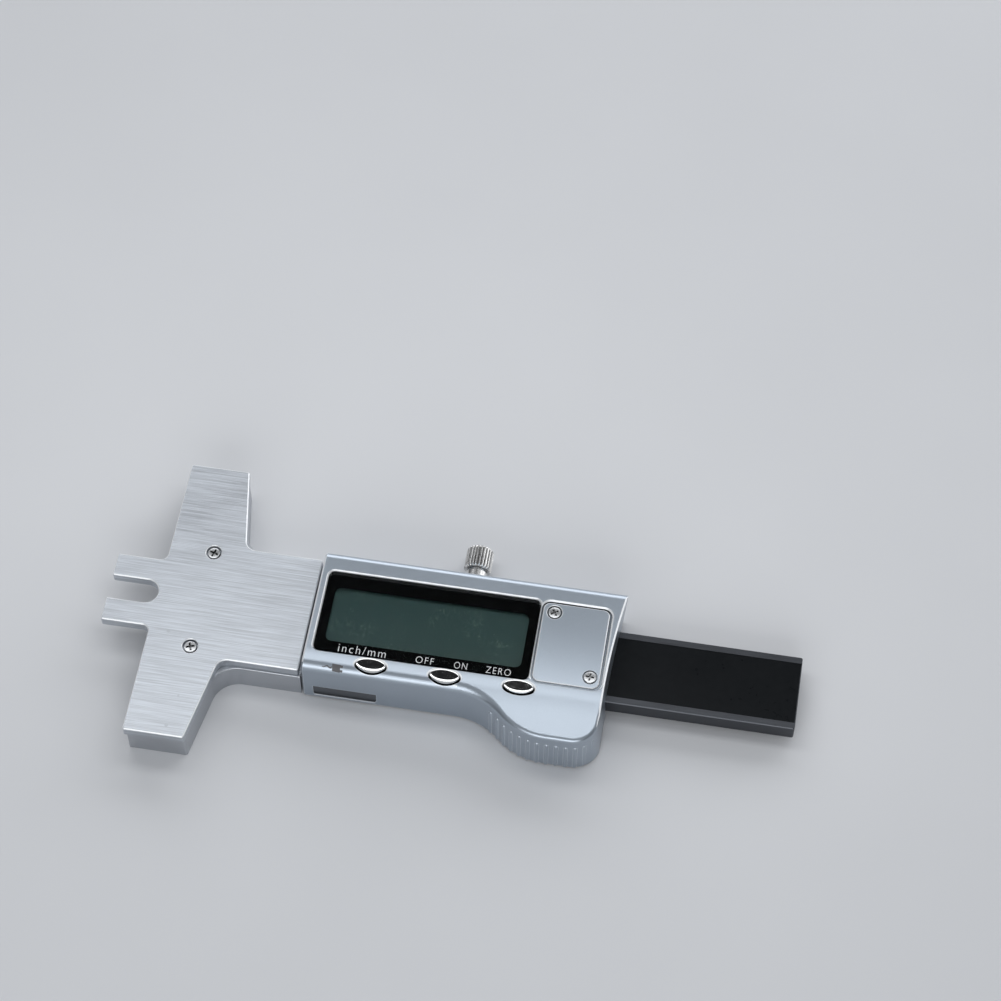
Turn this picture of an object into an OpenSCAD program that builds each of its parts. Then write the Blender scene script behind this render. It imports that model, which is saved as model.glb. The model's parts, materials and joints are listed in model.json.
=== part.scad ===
// Digital string action gauge: a forked plate on a slider that runs on a steel beam with a probe.
// The face frame used below has x = 0 at the plate's measuring face and y = 0 on the beam's axis.
// z = 0 is the flat back that the gauge rests on. All sizes are in millimetres.

/* [Beam] */
// Width of the beam
beam_w = 16; // [15:0.5:17]
// Thickness of the beam
beam_t = 3.5; // [3:0.1:4]
// Length of the wide part of the beam, from its shoulder to its tail
beam_len = 100.4; // [90:0.1:120]
// How far the beam slides
beam_travel = 25; // [18:0.5:26]
// Width of the probe at the beam's front
probe_w = 4.6; // [3:0.1:5]
// How far the probe's tip stands behind the plate's face at rest
probe_set_back = 0.2; // [0.1:0.1:2]
// Width of the scale strip let into the beam
strip_w = 13.1; // [10:0.1:14]
// Thickness of the scale strip
strip_t = 0.25; // [0.2:0.05:0.4]
// How far the strip lies below the beam's top face
strip_sink = 0.05; // [0:0.01:0.1]
// Diameter of the stop pin under the beam
stop_pin_d = 2; // [1.5:0.1:2.5]

/* [Fork plate] */
// Thickness of the fork plate
plate_t = 2.3; // [1.8:0.1:3]
// Length of the plate behind its face
plate_len = 30.55; // [29:0.05:33]
// Span over both wings
wing_span = 61.3; // [54:0.1:70]
// Depth of a wing at its end
wing_depth = 11.85; // [10:0.05:13]
// Slant of a wing's rear edge
wing_slant = 10; // [5:1:14]
// Width of the plate's neck
neck_w = 25.34; // [24.5:0.02:26]
// Fillet between wing and neck
neck_fillet = 2.2; // [1.5:0.1:3]
// Length of the prongs in front of the face
prong_len = 9.8; // [7:0.1:13]
// Width over both prongs
fork_w = 15.15; // [12:0.05:18]
// Width of the slot between the prongs
slot_w = 5.25; // [5.1:0.05:7]
// Fillet between the prongs and the face
fork_fillet = 1.5; // [0.5:0.1:2.5]
// Chamfer round the plate's top edge
plate_chamfer = 0.2; // [0.1:0.05:0.4]
// Distance of the plate's screws behind the face
plate_screw_x = 8.85; // [7:0.05:9.5]
// Distance between the plate's two screws
plate_screw_span = 21.66; // [21:0.02:30]

/* [Slider frame] */
// Thickness of the frame's back under the beam
frame_back = 1.65; // [1.3:0.05:2]
// Width of the frame inside the housing
frame_w = 24.2; // [24.1:0.1:25]
// Width of the frame's neck under the plate
frame_neck_w = 25.9; // [25.1:0.1:27]
// Fillet between the frame's head and its neck
frame_fillet = 5.25; // [3:0.05:6]
// How far the frame's head stays inside the plate's ends
head_inset = 0.65; // [0.3:0.05:1.5]
// How far the frame's head stays behind the plate's face
face_inset = 0.4; // [0.2:0.1:1]
// Gap between the beam's top and the plate
plate_gap = 1.1; // [0.8:0.1:1.5]
// Gap between the beam's top and the circuit board
board_gap = 0.15; // [0.1:0.05:0.2]
// Thickness of the gib strip
gib_t = 0.8; // [0.6:0.1:1]
// Distance of the gib strip from the frame's left end in the housing
gib_start = 4.65; // [4.4:0.05:6]
// Distance of the gib strip from the frame's rear end
gib_end_gap = 2.85; // [2:0.05:6]
// Distance of the first gib screw from the gib strip's start
gib_screw_inset = 9; // [8:0.1:10]

/* [Housing] */
// Gap between plate and housing
housing_gap = 0.75; // [0.5:0.05:1.5]
// Length of the housing's top along the near side
housing_len = 58.4; // [58:0.1:62]
// Width of the housing without the thumb rest
housing_w = 26.5; // [26.3:0.1:28]
// Height of the housing's top above the back
housing_h = 11.7; // [11.6:0.05:12.5]
// How far the housing's lower edge stays above the back
skirt_gap = 0.3; // [0.2:0.1:0.8]
// Wall at the ends of the housing
housing_wall = 1.2; // [1:0.1:1.3]
// Thickness of the housing's roof
roof_t = 1.6; // [1.5:0.1:1.8]
// Rounding of the long top edges
edge_r = 1.75; // [1:0.05:2.2]
// Rounding of the thumb rest's top edge
thumb_edge_r = 0.8; // [0.4:0.1:1.2]
// Start of the thumb rest, from the housing's left end
thumb_start = 29.7; // [28:0.1:31]
// Length of the curve that swells into the thumb rest
thumb_swell = 19; // [17:0.1:21]
// How far the thumb rest stands out of the near side
thumb_reach = 7.35; // [6:0.05:9]
// Corner radius of the thumb rest
thumb_corner_r = 5; // [4:0.1:6]
// Radius of the hollow right end
end_curve_r = 150; // [120:1:250]
// How far the right end leans out at its foot
end_lean = 0.6; // [0.2:0.1:1]
// Number of grip ribs on the thumb rest
rib_count = 13; // [8:1:14]
// Distance between two grip ribs
rib_pitch = 1.86; // [1.5:0.02:2]
// Radius of a grip rib
rib_r = 0.45; // [0.3:0.05:0.6]
// How far a grip rib stands out of the wall
rib_proud = 0.25; // [0.1:0.05:0.3]
// How far the ribs stop below the housing's top
rib_drop = 3; // [2.5:0.1:4]

/* [Display] */
// Length of the display window
window_l = 42.05; // [40.5:0.05:42.4]
// Width of the display window
window_w = 17.8; // [16.5:0.1:18]
// Corner radius of the window
window_r = 1.2; // [0.5:0.1:2]
// Distance of the window from the housing's left end
window_start = 1.6; // [1.5:0.05:1.9]
// Distance of the window's middle from the beam's axis
window_y = -0.2; // [-0.4:0.1:0.2]
// Thickness of the clear lens
lens_t = 1; // [0.7:0.1:1.05]
// Black border at the display's left and right
border_x = 1.8; // [1.5:0.05:3]
// Black border along the display's near side
border_near = 2.55; // [2:0.05:4]
// Black border along the display's far side
border_far = 3.15; // [2:0.05:4]
// Thickness of the display glass
lcd_t = 1.6; // [1.2:0.1:2]
// Width of a rubber contact strip
zebra_w = 1.6; // [1.2:0.1:2]
// Thickness of the circuit board
board_t = 0.8; // [0.6:0.1:1]
// Radius of the drop of resin over the chip
chip_r = 4.2; // [3:0.1:5]
// Height of the drop of resin
chip_h = 1.2; // [0.8:0.1:1.5]

/* [Buttons] */
// Length of an oval button
button_l = 6.3; // [5.5:0.1:7]
// Width of an oval button
button_w = 3.25; // [2.8:0.05:3.3]
// Distance of the first button from the window's left end
first_button_inset = 11.76; // [11.3:0.02:12.4]
// Distance of the last button from the window's right end
last_button_inset = 1.49; // [1.2:0.01:2]
// Distance of the buttons from the beam's axis
button_y = 11.1; // [11:0.05:11.2]
// How far a button stands above the housing
button_proud = 0.45; // [0.3:0.05:0.8]
// Travel of a button
button_travel = 0.3; // [0.2:0.05:0.4]
// Length of the ears that hold a button under the roof
button_ear = 0.9; // [0.6:0.1:1.1]
// Width of the ears
button_ear_w = 1.6; // [1:0.1:1.8]
// Radius of the snap dome under a button
dome_r = 1.5; // [1.2:0.1:1.8]
// Height of the snap dome
dome_h = 0.3; // [0.2:0.05:0.4]

/* [Battery] */
// Diameter of the button cell
cell_d = 11.6; // [11:0.1:11.8]
// Height of the button cell
cell_h = 5.4; // [5:0.05:5.45]
// Length of the battery cover along the beam
cover_l = 13.3; // [13:0.05:13.5]
// Width of the battery cover
cover_w = 17.9; // [16.5:0.1:18.2]
// Thickness of the battery cover
cover_t = 0.65; // [0.6:0.05:0.7]
// Corner radius of the battery cover
cover_r = 1.35; // [0.8:0.05:2]
// Width of the groove round the cover
cover_groove = 0.35; // [0.2:0.05:0.4]
// Distance between the window and the cover
cover_start = 0.65; // [0.6:0.05:0.8]
// Distance of the cover's middle from the beam's axis
cover_y = -0.1; // [-0.3:0.1:0.3]
// Distance of a cover screw from the cover's left or right edge
cover_screw_dx = 2.25; // [2.1:0.05:2.4]
// Distance of a cover screw from the cover's long edge
cover_screw_dy = 2.4; // [2:0.05:2.6]

/* [Lock screw] */
// Diameter of the lock screw's shank
lock_d = 2.5; // [2:0.1:3]
// Distance of the lock screw from the plate's face
lock_x = 60.6; // [58:0.1:64]
// Diameter of the knurled head
knob_d = 5.45; // [5:0.05:7]
// Length of the knurled head
knob_len = 4.8; // [3.5:0.1:6]
// Number of teeth round the head
knob_teeth = 24; // [16:1:30]
// Depth of the teeth
knob_tooth = 0.28; // [0.2:0.02:0.4]
// Diameter of the plain collar behind the head
collar_d = 4.5; // [3.8:0.1:4.8]
// Length of the collar
collar_len = 4.1; // [2:0.1:4.2]
// Gap between the collar and the housing's rear wall
collar_gap = 0.75; // [0.5:0.05:1.5]
// Length of the brass pad that the lock screw presses
pad_len = 1; // [0.6:0.1:1.5]

/* [Small screws] */
// Diameter of the heads of plate and cover screws
head_d = 2.5; // [2.3:0.1:2.6]
// Height of a screw head
head_h = 0.9; // [0.7:0.1:1]
// Diameter of the shanks of plate and housing screws
shank_d = 1.6; // [1.4:0.1:1.8]
// Diameter of the board screws' and cover screws' shanks
fine_shank_d = 1.2; // [1:0.1:1.3]
// Diameter of the gib screws
gib_screw_d = 2; // [1.6:0.1:2.2]
// Width of the arms of a cross recess
cross_w = 0.42; // [0.3:0.02:0.5]
// Depth of a cross recess
cross_depth = 0.35; // [0.2:0.05:0.4]
// How deep a sunk head lies below the face round it
head_sink = 0.15; // [0.05:0.05:0.3]
// How far a plate screw reaches into the frame
plate_screw_reach = 3.3; // [2.5:0.1:3.6]
// Distance of the first housing screw from the housing's left end
housing_screw_start = 6.7; // [6.2:0.1:7]
// Distance of the last housing screws from the housing's right end
housing_screw_end = 5.2; // [4.8:0.1:5.6]
// How far a housing screw reaches above the frame's rails
housing_screw_reach = 2.7; // [2:0.1:3.2]
// How far a board screw reaches into the frame
board_screw_reach = 2; // [1.5:0.1:2.6]
// How far a cover screw reaches down from its head
cover_screw_reach = 2.9; // [2:0.1:3.4]

/* [Data port] */
// Length of the data port's cover
port_l = 12.5; // [11:0.1:13]
// Height of the data port's cover
port_h = 2.9; // [2.4:0.1:3.2]
// Distance of the port from the housing's left end
port_start = 2.1; // [1.8:0.1:3]
// Height of the port's lower edge above the back
port_z = 1.3; // [1.2:0.1:1.5]
// How far the cover's lip stands out of the wall
port_lip = 0.4; // [0.2:0.1:0.8]
// How far the port's cover pulls out
port_pull = 6; // [3:0.5:8]

/* [Fits] */
// Running gap of sliding and turning pieces
run_gap = 0.05; // [0.04:0.01:0.08]
// Gap between pieces that are laid into each other
lay_gap = 0.05; // [0.02:0.01:0.1]
// Gap round a screw shank in its hole
shank_gap = 0.02; // [0.01:0.01:0.05]
// Gap between a button's foot and its switch, beyond its travel
switch_gap = 0.02; // [0.02:0.01:0.1]

/* [Hidden] */
$fn = 48;

// Steps of a rounded corner, of a long curve and of a rounded edge
corner_steps = 6;
curve_steps = 9;
edge_steps = 5;
// A cutter runs this far past the faces that it cuts
past = 1;

// Heights above the back
beam_z = frame_back + run_gap;
beam_top = beam_z + beam_t;
rail_top = beam_top + board_gap;
plate_z = beam_top + plate_gap;
plate_top = plate_z + plate_t;
board_top = rail_top + board_t;
film_t = 0.15;
film_top = rail_top + film_t;
roof_z = housing_h - roof_t;
cover_z = housing_h - cover_t;
lock_z = beam_z + beam_t / 2;

// Places along the beam, from the plate's face
shoulder_x = beam_travel + 1.5;
tail_x = shoulder_x + beam_len;
centre_x = (tail_x - prong_len) / 2;
housing_x = plate_len + housing_gap;
housing_end = housing_x + housing_len;
neck_end = plate_len + housing_gap / 2;
cavity_x = housing_x + housing_wall;
frame_end = housing_end - 0.9;
gib_x = housing_x + gib_start;
gib_len = frame_end - gib_end_gap - gib_x;
stop_pin_x = housing_x + 13.7;
window_x = housing_x + window_start;
view_l = window_l - 2 * border_x;
view_w = window_w - border_near - border_far;
view_x = window_x + border_x;
view_y = window_y + (border_near - border_far) / 2;
cover_x = window_x + window_l + cover_start;
cell_x = cover_x + cover_l / 2;
block_x = cover_x + 0.1;
board_x = cavity_x + 0.5;
board_end = block_x - 0.1;
gib_screw_xs = [gib_x + gib_screw_inset, board_end + 0.35];
gib_screw_z = lock_z;
button_pitch = (window_l - first_button_inset - last_button_inset) / 2;

// Places across the beam
channel_y = beam_w / 2 + run_gap;
gib_y = channel_y + gib_t + run_gap;
frame_y = frame_w / 2;
cavity_y = frame_y + lay_gap;
side_y = housing_w / 2;
rail_mid_y = (gib_y + frame_y) / 2;

// A screw's hole runs this far past its tip, and the heads at the back lie this far inside
tip_gap = 0.3;
housing_head_sink = 0.2;
// The snap domes lie this far inside the buttons' middles
dome_y = button_y - 0.6;

// Outline of the plate
wing_y = wing_span / 2;
neck_y = neck_w / 2;
slant = tan(wing_slant);

// Housing screws as [x, side of the beam]: two in the cavity and two under the battery
housing_screw_at = [
    [housing_x + housing_screw_start, 1],
    [button_x(0.5), -1],
    [housing_end - housing_screw_end, 1],
    [housing_end - housing_screw_end, -1]
];
boss_r = frame_y - rail_mid_y + 0.2;
board_screw_at = [
    [button_x(1.5), -1],
    [button_x(0.5) + 1.1, 1],
    [board_end - 3.64, 1]
];

// Thumb rest
swell_angle = 2 * atan(thumb_reach / thumb_swell);
swell_r = thumb_swell / (2 * sin(swell_angle));
swell_x = housing_x + thumb_start;
swell_end = swell_x + thumb_swell;
thumb_y = side_y + thumb_reach;
thumb_corner_x = housing_end - thumb_corner_r;
swell_len = swell_r * swell_angle * PI / 180;
flat_len = thumb_corner_x - swell_end;
thumb_path_len = 2 * swell_len + flat_len + thumb_corner_r * PI / 2;
first_rib = thumb_path_len - 2.87 - (rib_count - 1) * rib_pitch;

// The roof is level down to crown_start and falls in three steps towards the near side
crown_start = 9;
crown_steps = [[1, 2], [1, 4]];
crown_last = 6;

steel = [0.80, 0.82, 0.85];
satin_silver = [0.74, 0.77, 0.80];

function unit(v) = v / norm(v);
function button_x(i) = window_x + first_button_inset + i * button_pitch;
function xy(p) = [p[0], p[1]];

// Depth of the roof's surface under the housing's top, at distance y on the near side
function crown_drop(y) = let (d = max(0, y - crown_start))
    d <= 1 ? d * tan(crown_steps[0][1])
    : d <= 2 ? tan(crown_steps[0][1]) + (d - 1) * tan(crown_steps[1][1])
    : tan(crown_steps[0][1]) + tan(crown_steps[1][1]) + (d - 2) * tan(crown_last);

// Points of the arc that rounds corner b between its neighbours a and c
function corner(a, b, c, r) = let (
    u = unit(a - b),
    v = unit(c - b),
    half = acos(u * v) / 2,
    middle = b + unit(u + v) * r / sin(half),
    start = b + u * r / tan(half) - middle,
    stop = b + v * r / tan(half) - middle,
    a0 = atan2(start[1], start[0]),
    turn = atan2(stop[1], stop[0]) - a0,
    sweep = turn > 180 ? turn - 360 : turn < -180 ? turn + 360 : turn
) [for (i = [0:corner_steps]) let (t = a0 + sweep * i / corner_steps) middle + r * [cos(t), sin(t)]];

// Outline with each corner [x, y, radius] rounded
function rounded(pts) = [
    for (i = [0:len(pts) - 1]) let (
        before = pts[(i + len(pts) - 1) % len(pts)],
        after = pts[(i + 1) % len(pts)]
    ) each corner(xy(before), xy(pts[i]), xy(after), pts[i][2])
];

// The same corners moved inwards by d, for an outline that runs counterclockwise
function inset(pts, d) = [
    for (i = [0:len(pts) - 1]) let (
        b = xy(pts[i]),
        a = xy(pts[(i + len(pts) - 1) % len(pts)]),
        c = xy(pts[(i + 1) % len(pts)]),
        u = unit(a - b),
        v = unit(c - b),
        turn = cross(b - a, c - b) > 0 ? 1 : -1,
        move = turn * d / sin(acos(u * v) / 2),
        p = b + unit(u + v) * move
    ) [p[0], p[1], pts[i][2] - turn * d]
];

// Corners of a rectangle from its lower left corner
function box_corners(x, y, l, w, r) = [[x, y, r], [x + l, y, r], [x + l, y + w, r], [x, y + w, r]];
// Corners on the near side that match those on the far side, in the order that closes the outline
function mirrored(pts) = [for (p = reversed(pts)) [p[0], -p[1], p[2]]];
function at_height(pts, z) = [for (p = pts) [p[0], p[1], z]];
function reversed(list) = [for (i = [len(list) - 1:-1:0]) list[i]];

// Moves the model so that the middle of its length is at x = 0
module placed() translate([-centre_x, 0, 0]) children();

// Number of the first corner of an outline that can be cut off as a triangle.
// pts are points, and ring lists the numbers of the outline's points, counterclockwise.
function first_ear(pts, ring, i = 0) = let (
    n = len(ring),
    a = xy(pts[ring[(i + n - 1) % n]]),
    b = xy(pts[ring[i % n]]),
    c = xy(pts[ring[(i + 1) % n]]),
    blocked = [
        for (j = [2:n - 2]) let (p = xy(pts[ring[(i + j) % n]]))
            if (cross(b - a, p - a) >= 0 && cross(c - b, p - b) >= 0 && cross(a - c, p - c) >= 0) j
    ]
) i >= n || (cross(b - a, c - b) > 0 && len(blocked) == 0) ? i % n : first_ear(pts, ring, i + 1);

// Triangles that fill an outline
function filled(pts, ring) = len(ring) == 3 ? [ring] : let (
    n = len(ring),
    k = first_ear(pts, ring)
) concat(
    [[ring[(k + n - 1) % n], ring[k], ring[(k + 1) % n]]],
    filled(pts, [for (j = [0:n - 1]) if (j != k) ring[j]])
);

// Solid through rings of equal length, counterclockwise and from the lowest to the highest.
// lids lists the outlines that make up the top; without it the top is one outline.
module loft(rings, lids = undef) {
    n = len(rings[0]);
    all = [for (i = [0:n - 1]) i];
    top = (len(rings) - 1) * n;
    sides = [
        for (j = [0:len(rings) - 2], i = all) let (
            a = j * n + i,
            b = j * n + (i + 1) % n
        ) each [[a, a + n, b + n], [a, b + n, b]]
    ];
    lid_faces = [
        for (lid = is_undef(lids) ? [all] : lids, face = filled(rings[len(rings) - 1], lid))
            [for (i = reversed(face)) top + i]
    ];
    polyhedron([for (ring = rings) each ring], concat(filled(rings[0], all), sides, lid_faces), convexity = 8);
}

// Flat piece with a bevelled top edge: corners of its outline, foot, thickness and bevel
module bevelled(pts, z, t, bevel) {
    outline = rounded(pts);
    translate([0, 0, z]) linear_extrude(t - bevel) polygon(outline);
    loft([at_height(outline, z + t - bevel), at_height(rounded(inset(pts, bevel)), z + t)]);
}

module block(x0, x1, y0, y1, z0, z1) translate([x0, y0, z0]) cube([x1 - x0, y1 - y0, z1 - z0]);
module post(x, y, z0, z1, r) translate([x, y, z0]) cylinder(h = z1 - z0, r = r);
module rod_y(x, z, y0, y1, r) translate([x, y0, z]) rotate([-90, 0, 0]) cylinder(h = y1 - y0, r = r);

// Cross recess, cut from the head's face down
module cross_recess(d) {
    arm = d * 0.56;
    for (turn = [0, 90]) rotate(turn) translate([-arm / 2, -cross_w / 2, -cross_depth]) cube([arm, cross_w, past]);
}

// Screw with its head's face at z = 0, pointing down
module small_screw(d, length, turn) {
    difference() {
        union() {
            translate([0, 0, -head_h]) cylinder(h = head_h, d = head_d);
            translate([0, 0, -length]) cylinder(h = length - head_h / 2, d = d);
        }
        rotate(turn) cross_recess(head_d);
    }
}

// Corners of the plate, mirrored about the beam's axis
function plate_corners() = let (
    sharp = plate_chamfer + 0.2,
    far_side = [
        [plate_len, neck_y, sharp],
        [wing_depth + (wing_y - neck_y) * slant, neck_y, neck_fillet],
        [wing_depth, wing_y, sharp + 0.1],
        [0, wing_y, sharp],
        [0, fork_w / 2, fork_fillet],
        [-prong_len, fork_w / 2, sharp]
    ]
) concat(far_side, mirrored(far_side));

module fork_plate() {
    slot_end = -slot_w / 2;
    bore_r = head_d / 2 + 0.3;
    color(steel) placed() difference() {
        bevelled(plate_corners(), plate_z, plate_t, plate_chamfer);
        block(-prong_len - past, slot_end, -slot_w / 2, slot_w / 2, plate_z - past, plate_top + past);
        post(slot_end, 0, plate_z - past, plate_top + past, slot_w / 2);
        for (side = [-1, 1]) translate([0, side * plate_screw_span / 2, 0]) {
            post(plate_screw_x, 0, plate_z - past, plate_top, shank_d / 2 + 0.1);
            post(plate_screw_x, 0, plate_top - head_h - head_sink, plate_top + past, bore_r);
        }
    }
}

module plate_screws() {
    color(steel) placed() for (side = [-1, 1])
        translate([plate_screw_x, side * plate_screw_span / 2, plate_top - head_sink])
        small_screw(shank_d, plate_t + plate_screw_reach, side * 20);
}

// Frame outline: head under the wings, neck under the plate and body inside the housing
function frame_corners() = let (
    head_y = wing_y - head_inset,
    root_y = frame_neck_w / 2,
    rear = wing_depth - 0.1 + (wing_y - root_y) * slant,
    end_x = wing_depth - 0.1 + head_inset * slant,
    far_side = [
        [frame_end, frame_y, 0.1],
        [neck_end, frame_y, 0.1],
        [neck_end, root_y, 0.1],
        [rear, root_y, frame_fillet],
        [end_x, head_y, 0.5],
        [face_inset, head_y, 0.3]
    ]
) concat(far_side, mirrored(far_side));

module slider_frame() {
    color([0.66, 0.68, 0.71]) placed() difference() {
        linear_extrude(plate_z) polygon(rounded(frame_corners()));
        // Lower rails inside the housing
        block(neck_end, frame_end + past, -frame_y - past, frame_y + past, rail_top, plate_z + past);
        // Channel for the beam and the wider pocket for the gib strip
        block(-past, frame_end + past, -channel_y, channel_y, frame_back, plate_z + past);
        block(gib_x - run_gap, gib_x + gib_len + run_gap, 0, gib_y, frame_back, rail_top + past);
        // Stop pin, gib screws and lock screw
        post(stop_pin_x, 0, -past, frame_back + past, stop_pin_d / 2 + shank_gap);
        for (x = gib_screw_xs) rod_y(x, gib_screw_z, 0, frame_y + past, gib_screw_d / 2 + shank_gap);
        rod_y(lock_x, lock_z, 0, frame_y + past, lock_d / 2 + run_gap);
        // Threaded holes of the plate's screws
        for (side = [-1, 1])
            post(plate_screw_x, side * plate_screw_span / 2, plate_z - plate_screw_reach - head_sink - tip_gap,
                plate_z + past, shank_d / 2 + shank_gap);
        // Housing screws go in from the back, board screws from above
        for (p = housing_screw_at) {
            post(p[0], p[1] * rail_mid_y, -past, rail_top + past, shank_d / 2 + shank_gap);
            post(p[0], p[1] * rail_mid_y, -past, head_h + housing_head_sink, head_d / 2 + 0.1);
        }
        for (p = board_screw_at)
            post(p[0], p[1] * rail_mid_y, rail_top - board_screw_reach - tip_gap, rail_top + past,
                fine_shank_d / 2 + shank_gap);
        // Pocket behind the data port
        block(port_x() + 0.5, port_x() + port_l - 0.5, -frame_y - past, -frame_y + 2.3, port_z + 0.3, plate_z);
    }
}

module beam() {
    slot_from = stop_pin_x - stop_pin_d / 2 - 0.1;
    slot_to = stop_pin_x + beam_travel + stop_pin_d / 2 + 0.1;
    color([0.55, 0.57, 0.60]) placed() difference() {
        union() {
            bevelled(box_corners(shoulder_x, -beam_w / 2, beam_len, beam_w, 0.4), beam_z, beam_t, 0.15);
            bevelled(box_corners(probe_set_back, -probe_w / 2, beam_travel + 4, probe_w, 0.3), beam_z, beam_t, 0.15);
        }
        // Bed of the scale strip
        block(shoulder_x + 2, tail_x + past, -strip_w / 2 - lay_gap, strip_w / 2 + lay_gap,
            beam_top - strip_t - strip_sink, beam_top + past);
        // Slot in the underside for the stop pin
        block(slot_from, slot_to, -stop_pin_d / 2 - run_gap, stop_pin_d / 2 + run_gap, beam_z - past, beam_z + 1);
    }
}

module scale_strip() {
    color([0.10, 0.12, 0.14]) placed()
        block(shoulder_x + 2 + lay_gap, tail_x - 0.2, -strip_w / 2, strip_w / 2,
            beam_top - strip_t - strip_sink, beam_top - strip_sink);
}

module gib_strip() {
    color([0.72, 0.60, 0.35]) placed()
        block(gib_x, gib_x + gib_len, channel_y, channel_y + gib_t, beam_z, beam_top);
}

module stop_pin() {
    color(steel) placed() post(stop_pin_x, 0, 0.1, beam_z + 0.8, stop_pin_d / 2);
}

// Set screws that press the gib strip, with a slot in the outer end
module gib_screws() {
    color([0.30, 0.31, 0.33]) placed() for (x = gib_screw_xs) difference() {
        rod_y(x, gib_screw_z, gib_y - run_gap + 0.02, frame_y - 0.2, gib_screw_d / 2);
        block(x - past, x + past, frame_y - 0.8, frame_y, gib_screw_z - 0.2, gib_screw_z + 0.2);
    }
}

// Lock screw along +Y: shank, plain collar, groove and knurled head with a bevelled end
module lock_screw() {
    tip_y = gib_y + pad_len + run_gap;
    collar_y = side_y + collar_gap;
    knob_y = collar_y + collar_len;
    end_bevel = 0.35;
    tooth_angle = 360 / knob_teeth;
    root_r = knob_d / 2 - knob_tooth;
    teeth = [
        for (i = [0:knob_teeth - 1], part = [[0.00, 0], [0.32, 1], [0.68, 1]]) let (
            a = (i + part[0]) * tooth_angle,
            r = root_r + part[1] * knob_tooth
        ) [r * cos(a), r * sin(a)]
    ];
    color([0.78, 0.79, 0.80]) placed() translate([lock_x, 0, lock_z]) rotate([-90, 0, 0]) {
        translate([0, 0, tip_y]) cylinder(h = collar_y - tip_y + 0.2, d = lock_d);
        translate([0, 0, collar_y]) cylinder(h = collar_len - 0.5, d = collar_d);
        translate([0, 0, knob_y - 0.6]) cylinder(h = past, d = collar_d - 0.7);
        intersection() {
            translate([0, 0, knob_y]) linear_extrude(knob_len) polygon(teeth);
            rotate_extrude() polygon([
                [0, knob_y],
                [root_r, knob_y],
                [knob_d / 2, knob_y + end_bevel],
                [knob_d / 2, knob_y + knob_len - end_bevel],
                [root_r - 0.15, knob_y + knob_len],
                [0, knob_y + knob_len]
            ]);
        }
    }
}

module lock_pad() {
    color([0.78, 0.62, 0.30]) placed() rod_y(lock_x, lock_z, gib_y, gib_y + pad_len, lock_d / 2);
}

// One point of the thumb rest's wall at distance s along it: [x, y, outward normal x, y]
function thumb_at(s) =
    s < swell_len ? let (a = s / swell_r * 180 / PI)
        [swell_x + swell_r * sin(a), -side_y - swell_r * (1 - cos(a)), -sin(a), -cos(a)]
    : s < 2 * swell_len ? let (b = (2 * swell_len - s) / swell_r * 180 / PI)
        [swell_end - swell_r * sin(b), -thumb_y + swell_r * (1 - cos(b)), -sin(b), -cos(b)]
    : s < 2 * swell_len + flat_len ? [swell_end + s - 2 * swell_len, -thumb_y, 0, -1]
    : let (c = (s - 2 * swell_len - flat_len) / thumb_corner_r * 180 / PI)
        [thumb_corner_x + thumb_corner_r * sin(c), -thumb_y + thumb_corner_r * (1 - cos(c)), sin(c), -cos(c)];

// Places along the thumb rest's wall at which the skin has a point
thumb_stations = concat(
    [for (i = [0:2 * curve_steps]) i * swell_len / curve_steps],
    [for (i = [0:curve_steps]) 2 * swell_len + flat_len + i * (thumb_path_len - 2 * swell_len - flat_len) / curve_steps]
);

// Outline of the housing's skin as [x, y, inset x, inset y, edge radius, lean of the foot].
// Its left end and its right end run past the housing and are trimmed afterwards.
function skin_path() = let (
    left = housing_x - 3,
    right = housing_end + 3.3,
    flare = 3.3 / (side_y + thumb_y - thumb_corner_r)
) concat(
    [for (d = [2:-1:0]) let (y = -crown_start - d)
        [housing_end + (y + thumb_y - thumb_corner_r) * flare, y, thumb_edge_r, 0, thumb_edge_r, end_lean]],
    [[right, side_y, thumb_edge_r, edge_r, edge_r, end_lean]],
    [[left, side_y, -edge_r, edge_r, edge_r, 0]],
    [for (d = [0:2]) [left, -crown_start - d, -edge_r, 0, edge_r, 0]],
    [[left, -side_y, -edge_r, -edge_r, edge_r, 0]],
    [for (s = thumb_stations) let (
        p = thumb_at(s),
        t = min(1, s / (2 * swell_len)),
        r = edge_r + (thumb_edge_r - edge_r) * t * t * (3 - 2 * t)
    ) [p[0], p[1], p[2] * r, p[3] * r, r, max(0, p[2]) * end_lean]]
);

// Ring of the skin at an angle of its rounded edge: 0 at the wall and 90 on the roof
function skin_ring(path, angle) = [
    for (p = path) let (
        y = p[1] - p[3] * (1 - cos(angle)),
        z = housing_h - crown_drop(-y) - p[4] * (1 - sin(angle))
    ) [p[0] - p[2] * (1 - cos(angle)), y, z]
];

module housing_skin() {
    path = skin_path();
    last = len(path) - 1;
    foot = [for (p = path) [p[0] + p[5], p[1], skirt_gap]];
    rings = [for (i = [0:edge_steps]) skin_ring(path, 90 * i / edge_steps)];
    loft(concat([foot], rings), [
        [2, 3, 4, 5],
        [1, 2, 5, 6],
        [0, 1, 6, 7],
        concat([for (i = [7:last]) i], [0])
    ]);
}

// Everything beyond the hollow, leaning right end
module end_trim() {
    start = thumb_y - thumb_corner_r + 1.9;
    ys = concat([-start], [for (i = [0:curve_steps]) -11 + i * (side_y + 12) / curve_steps]);
    function top_x(y) = housing_end - 0.05 + pow(max(0, y + 11), 2) / (2 * end_curve_r);
    function foot_x(y) = housing_end - 0.05 + end_lean + 0.025 * max(0, y + 11);
    function trim_ring(z) = let (t = (z - skirt_gap) / (housing_h - skirt_gap)) concat(
        [for (y = reversed(ys)) [foot_x(y) + (top_x(y) - foot_x(y)) * t, y, z]],
        [[housing_end + 9, -start, z], [housing_end + 9, ys[len(ys) - 1], z]]
    );
    loft([trim_ring(-past), trim_ring(housing_h + past)]);
}

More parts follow.
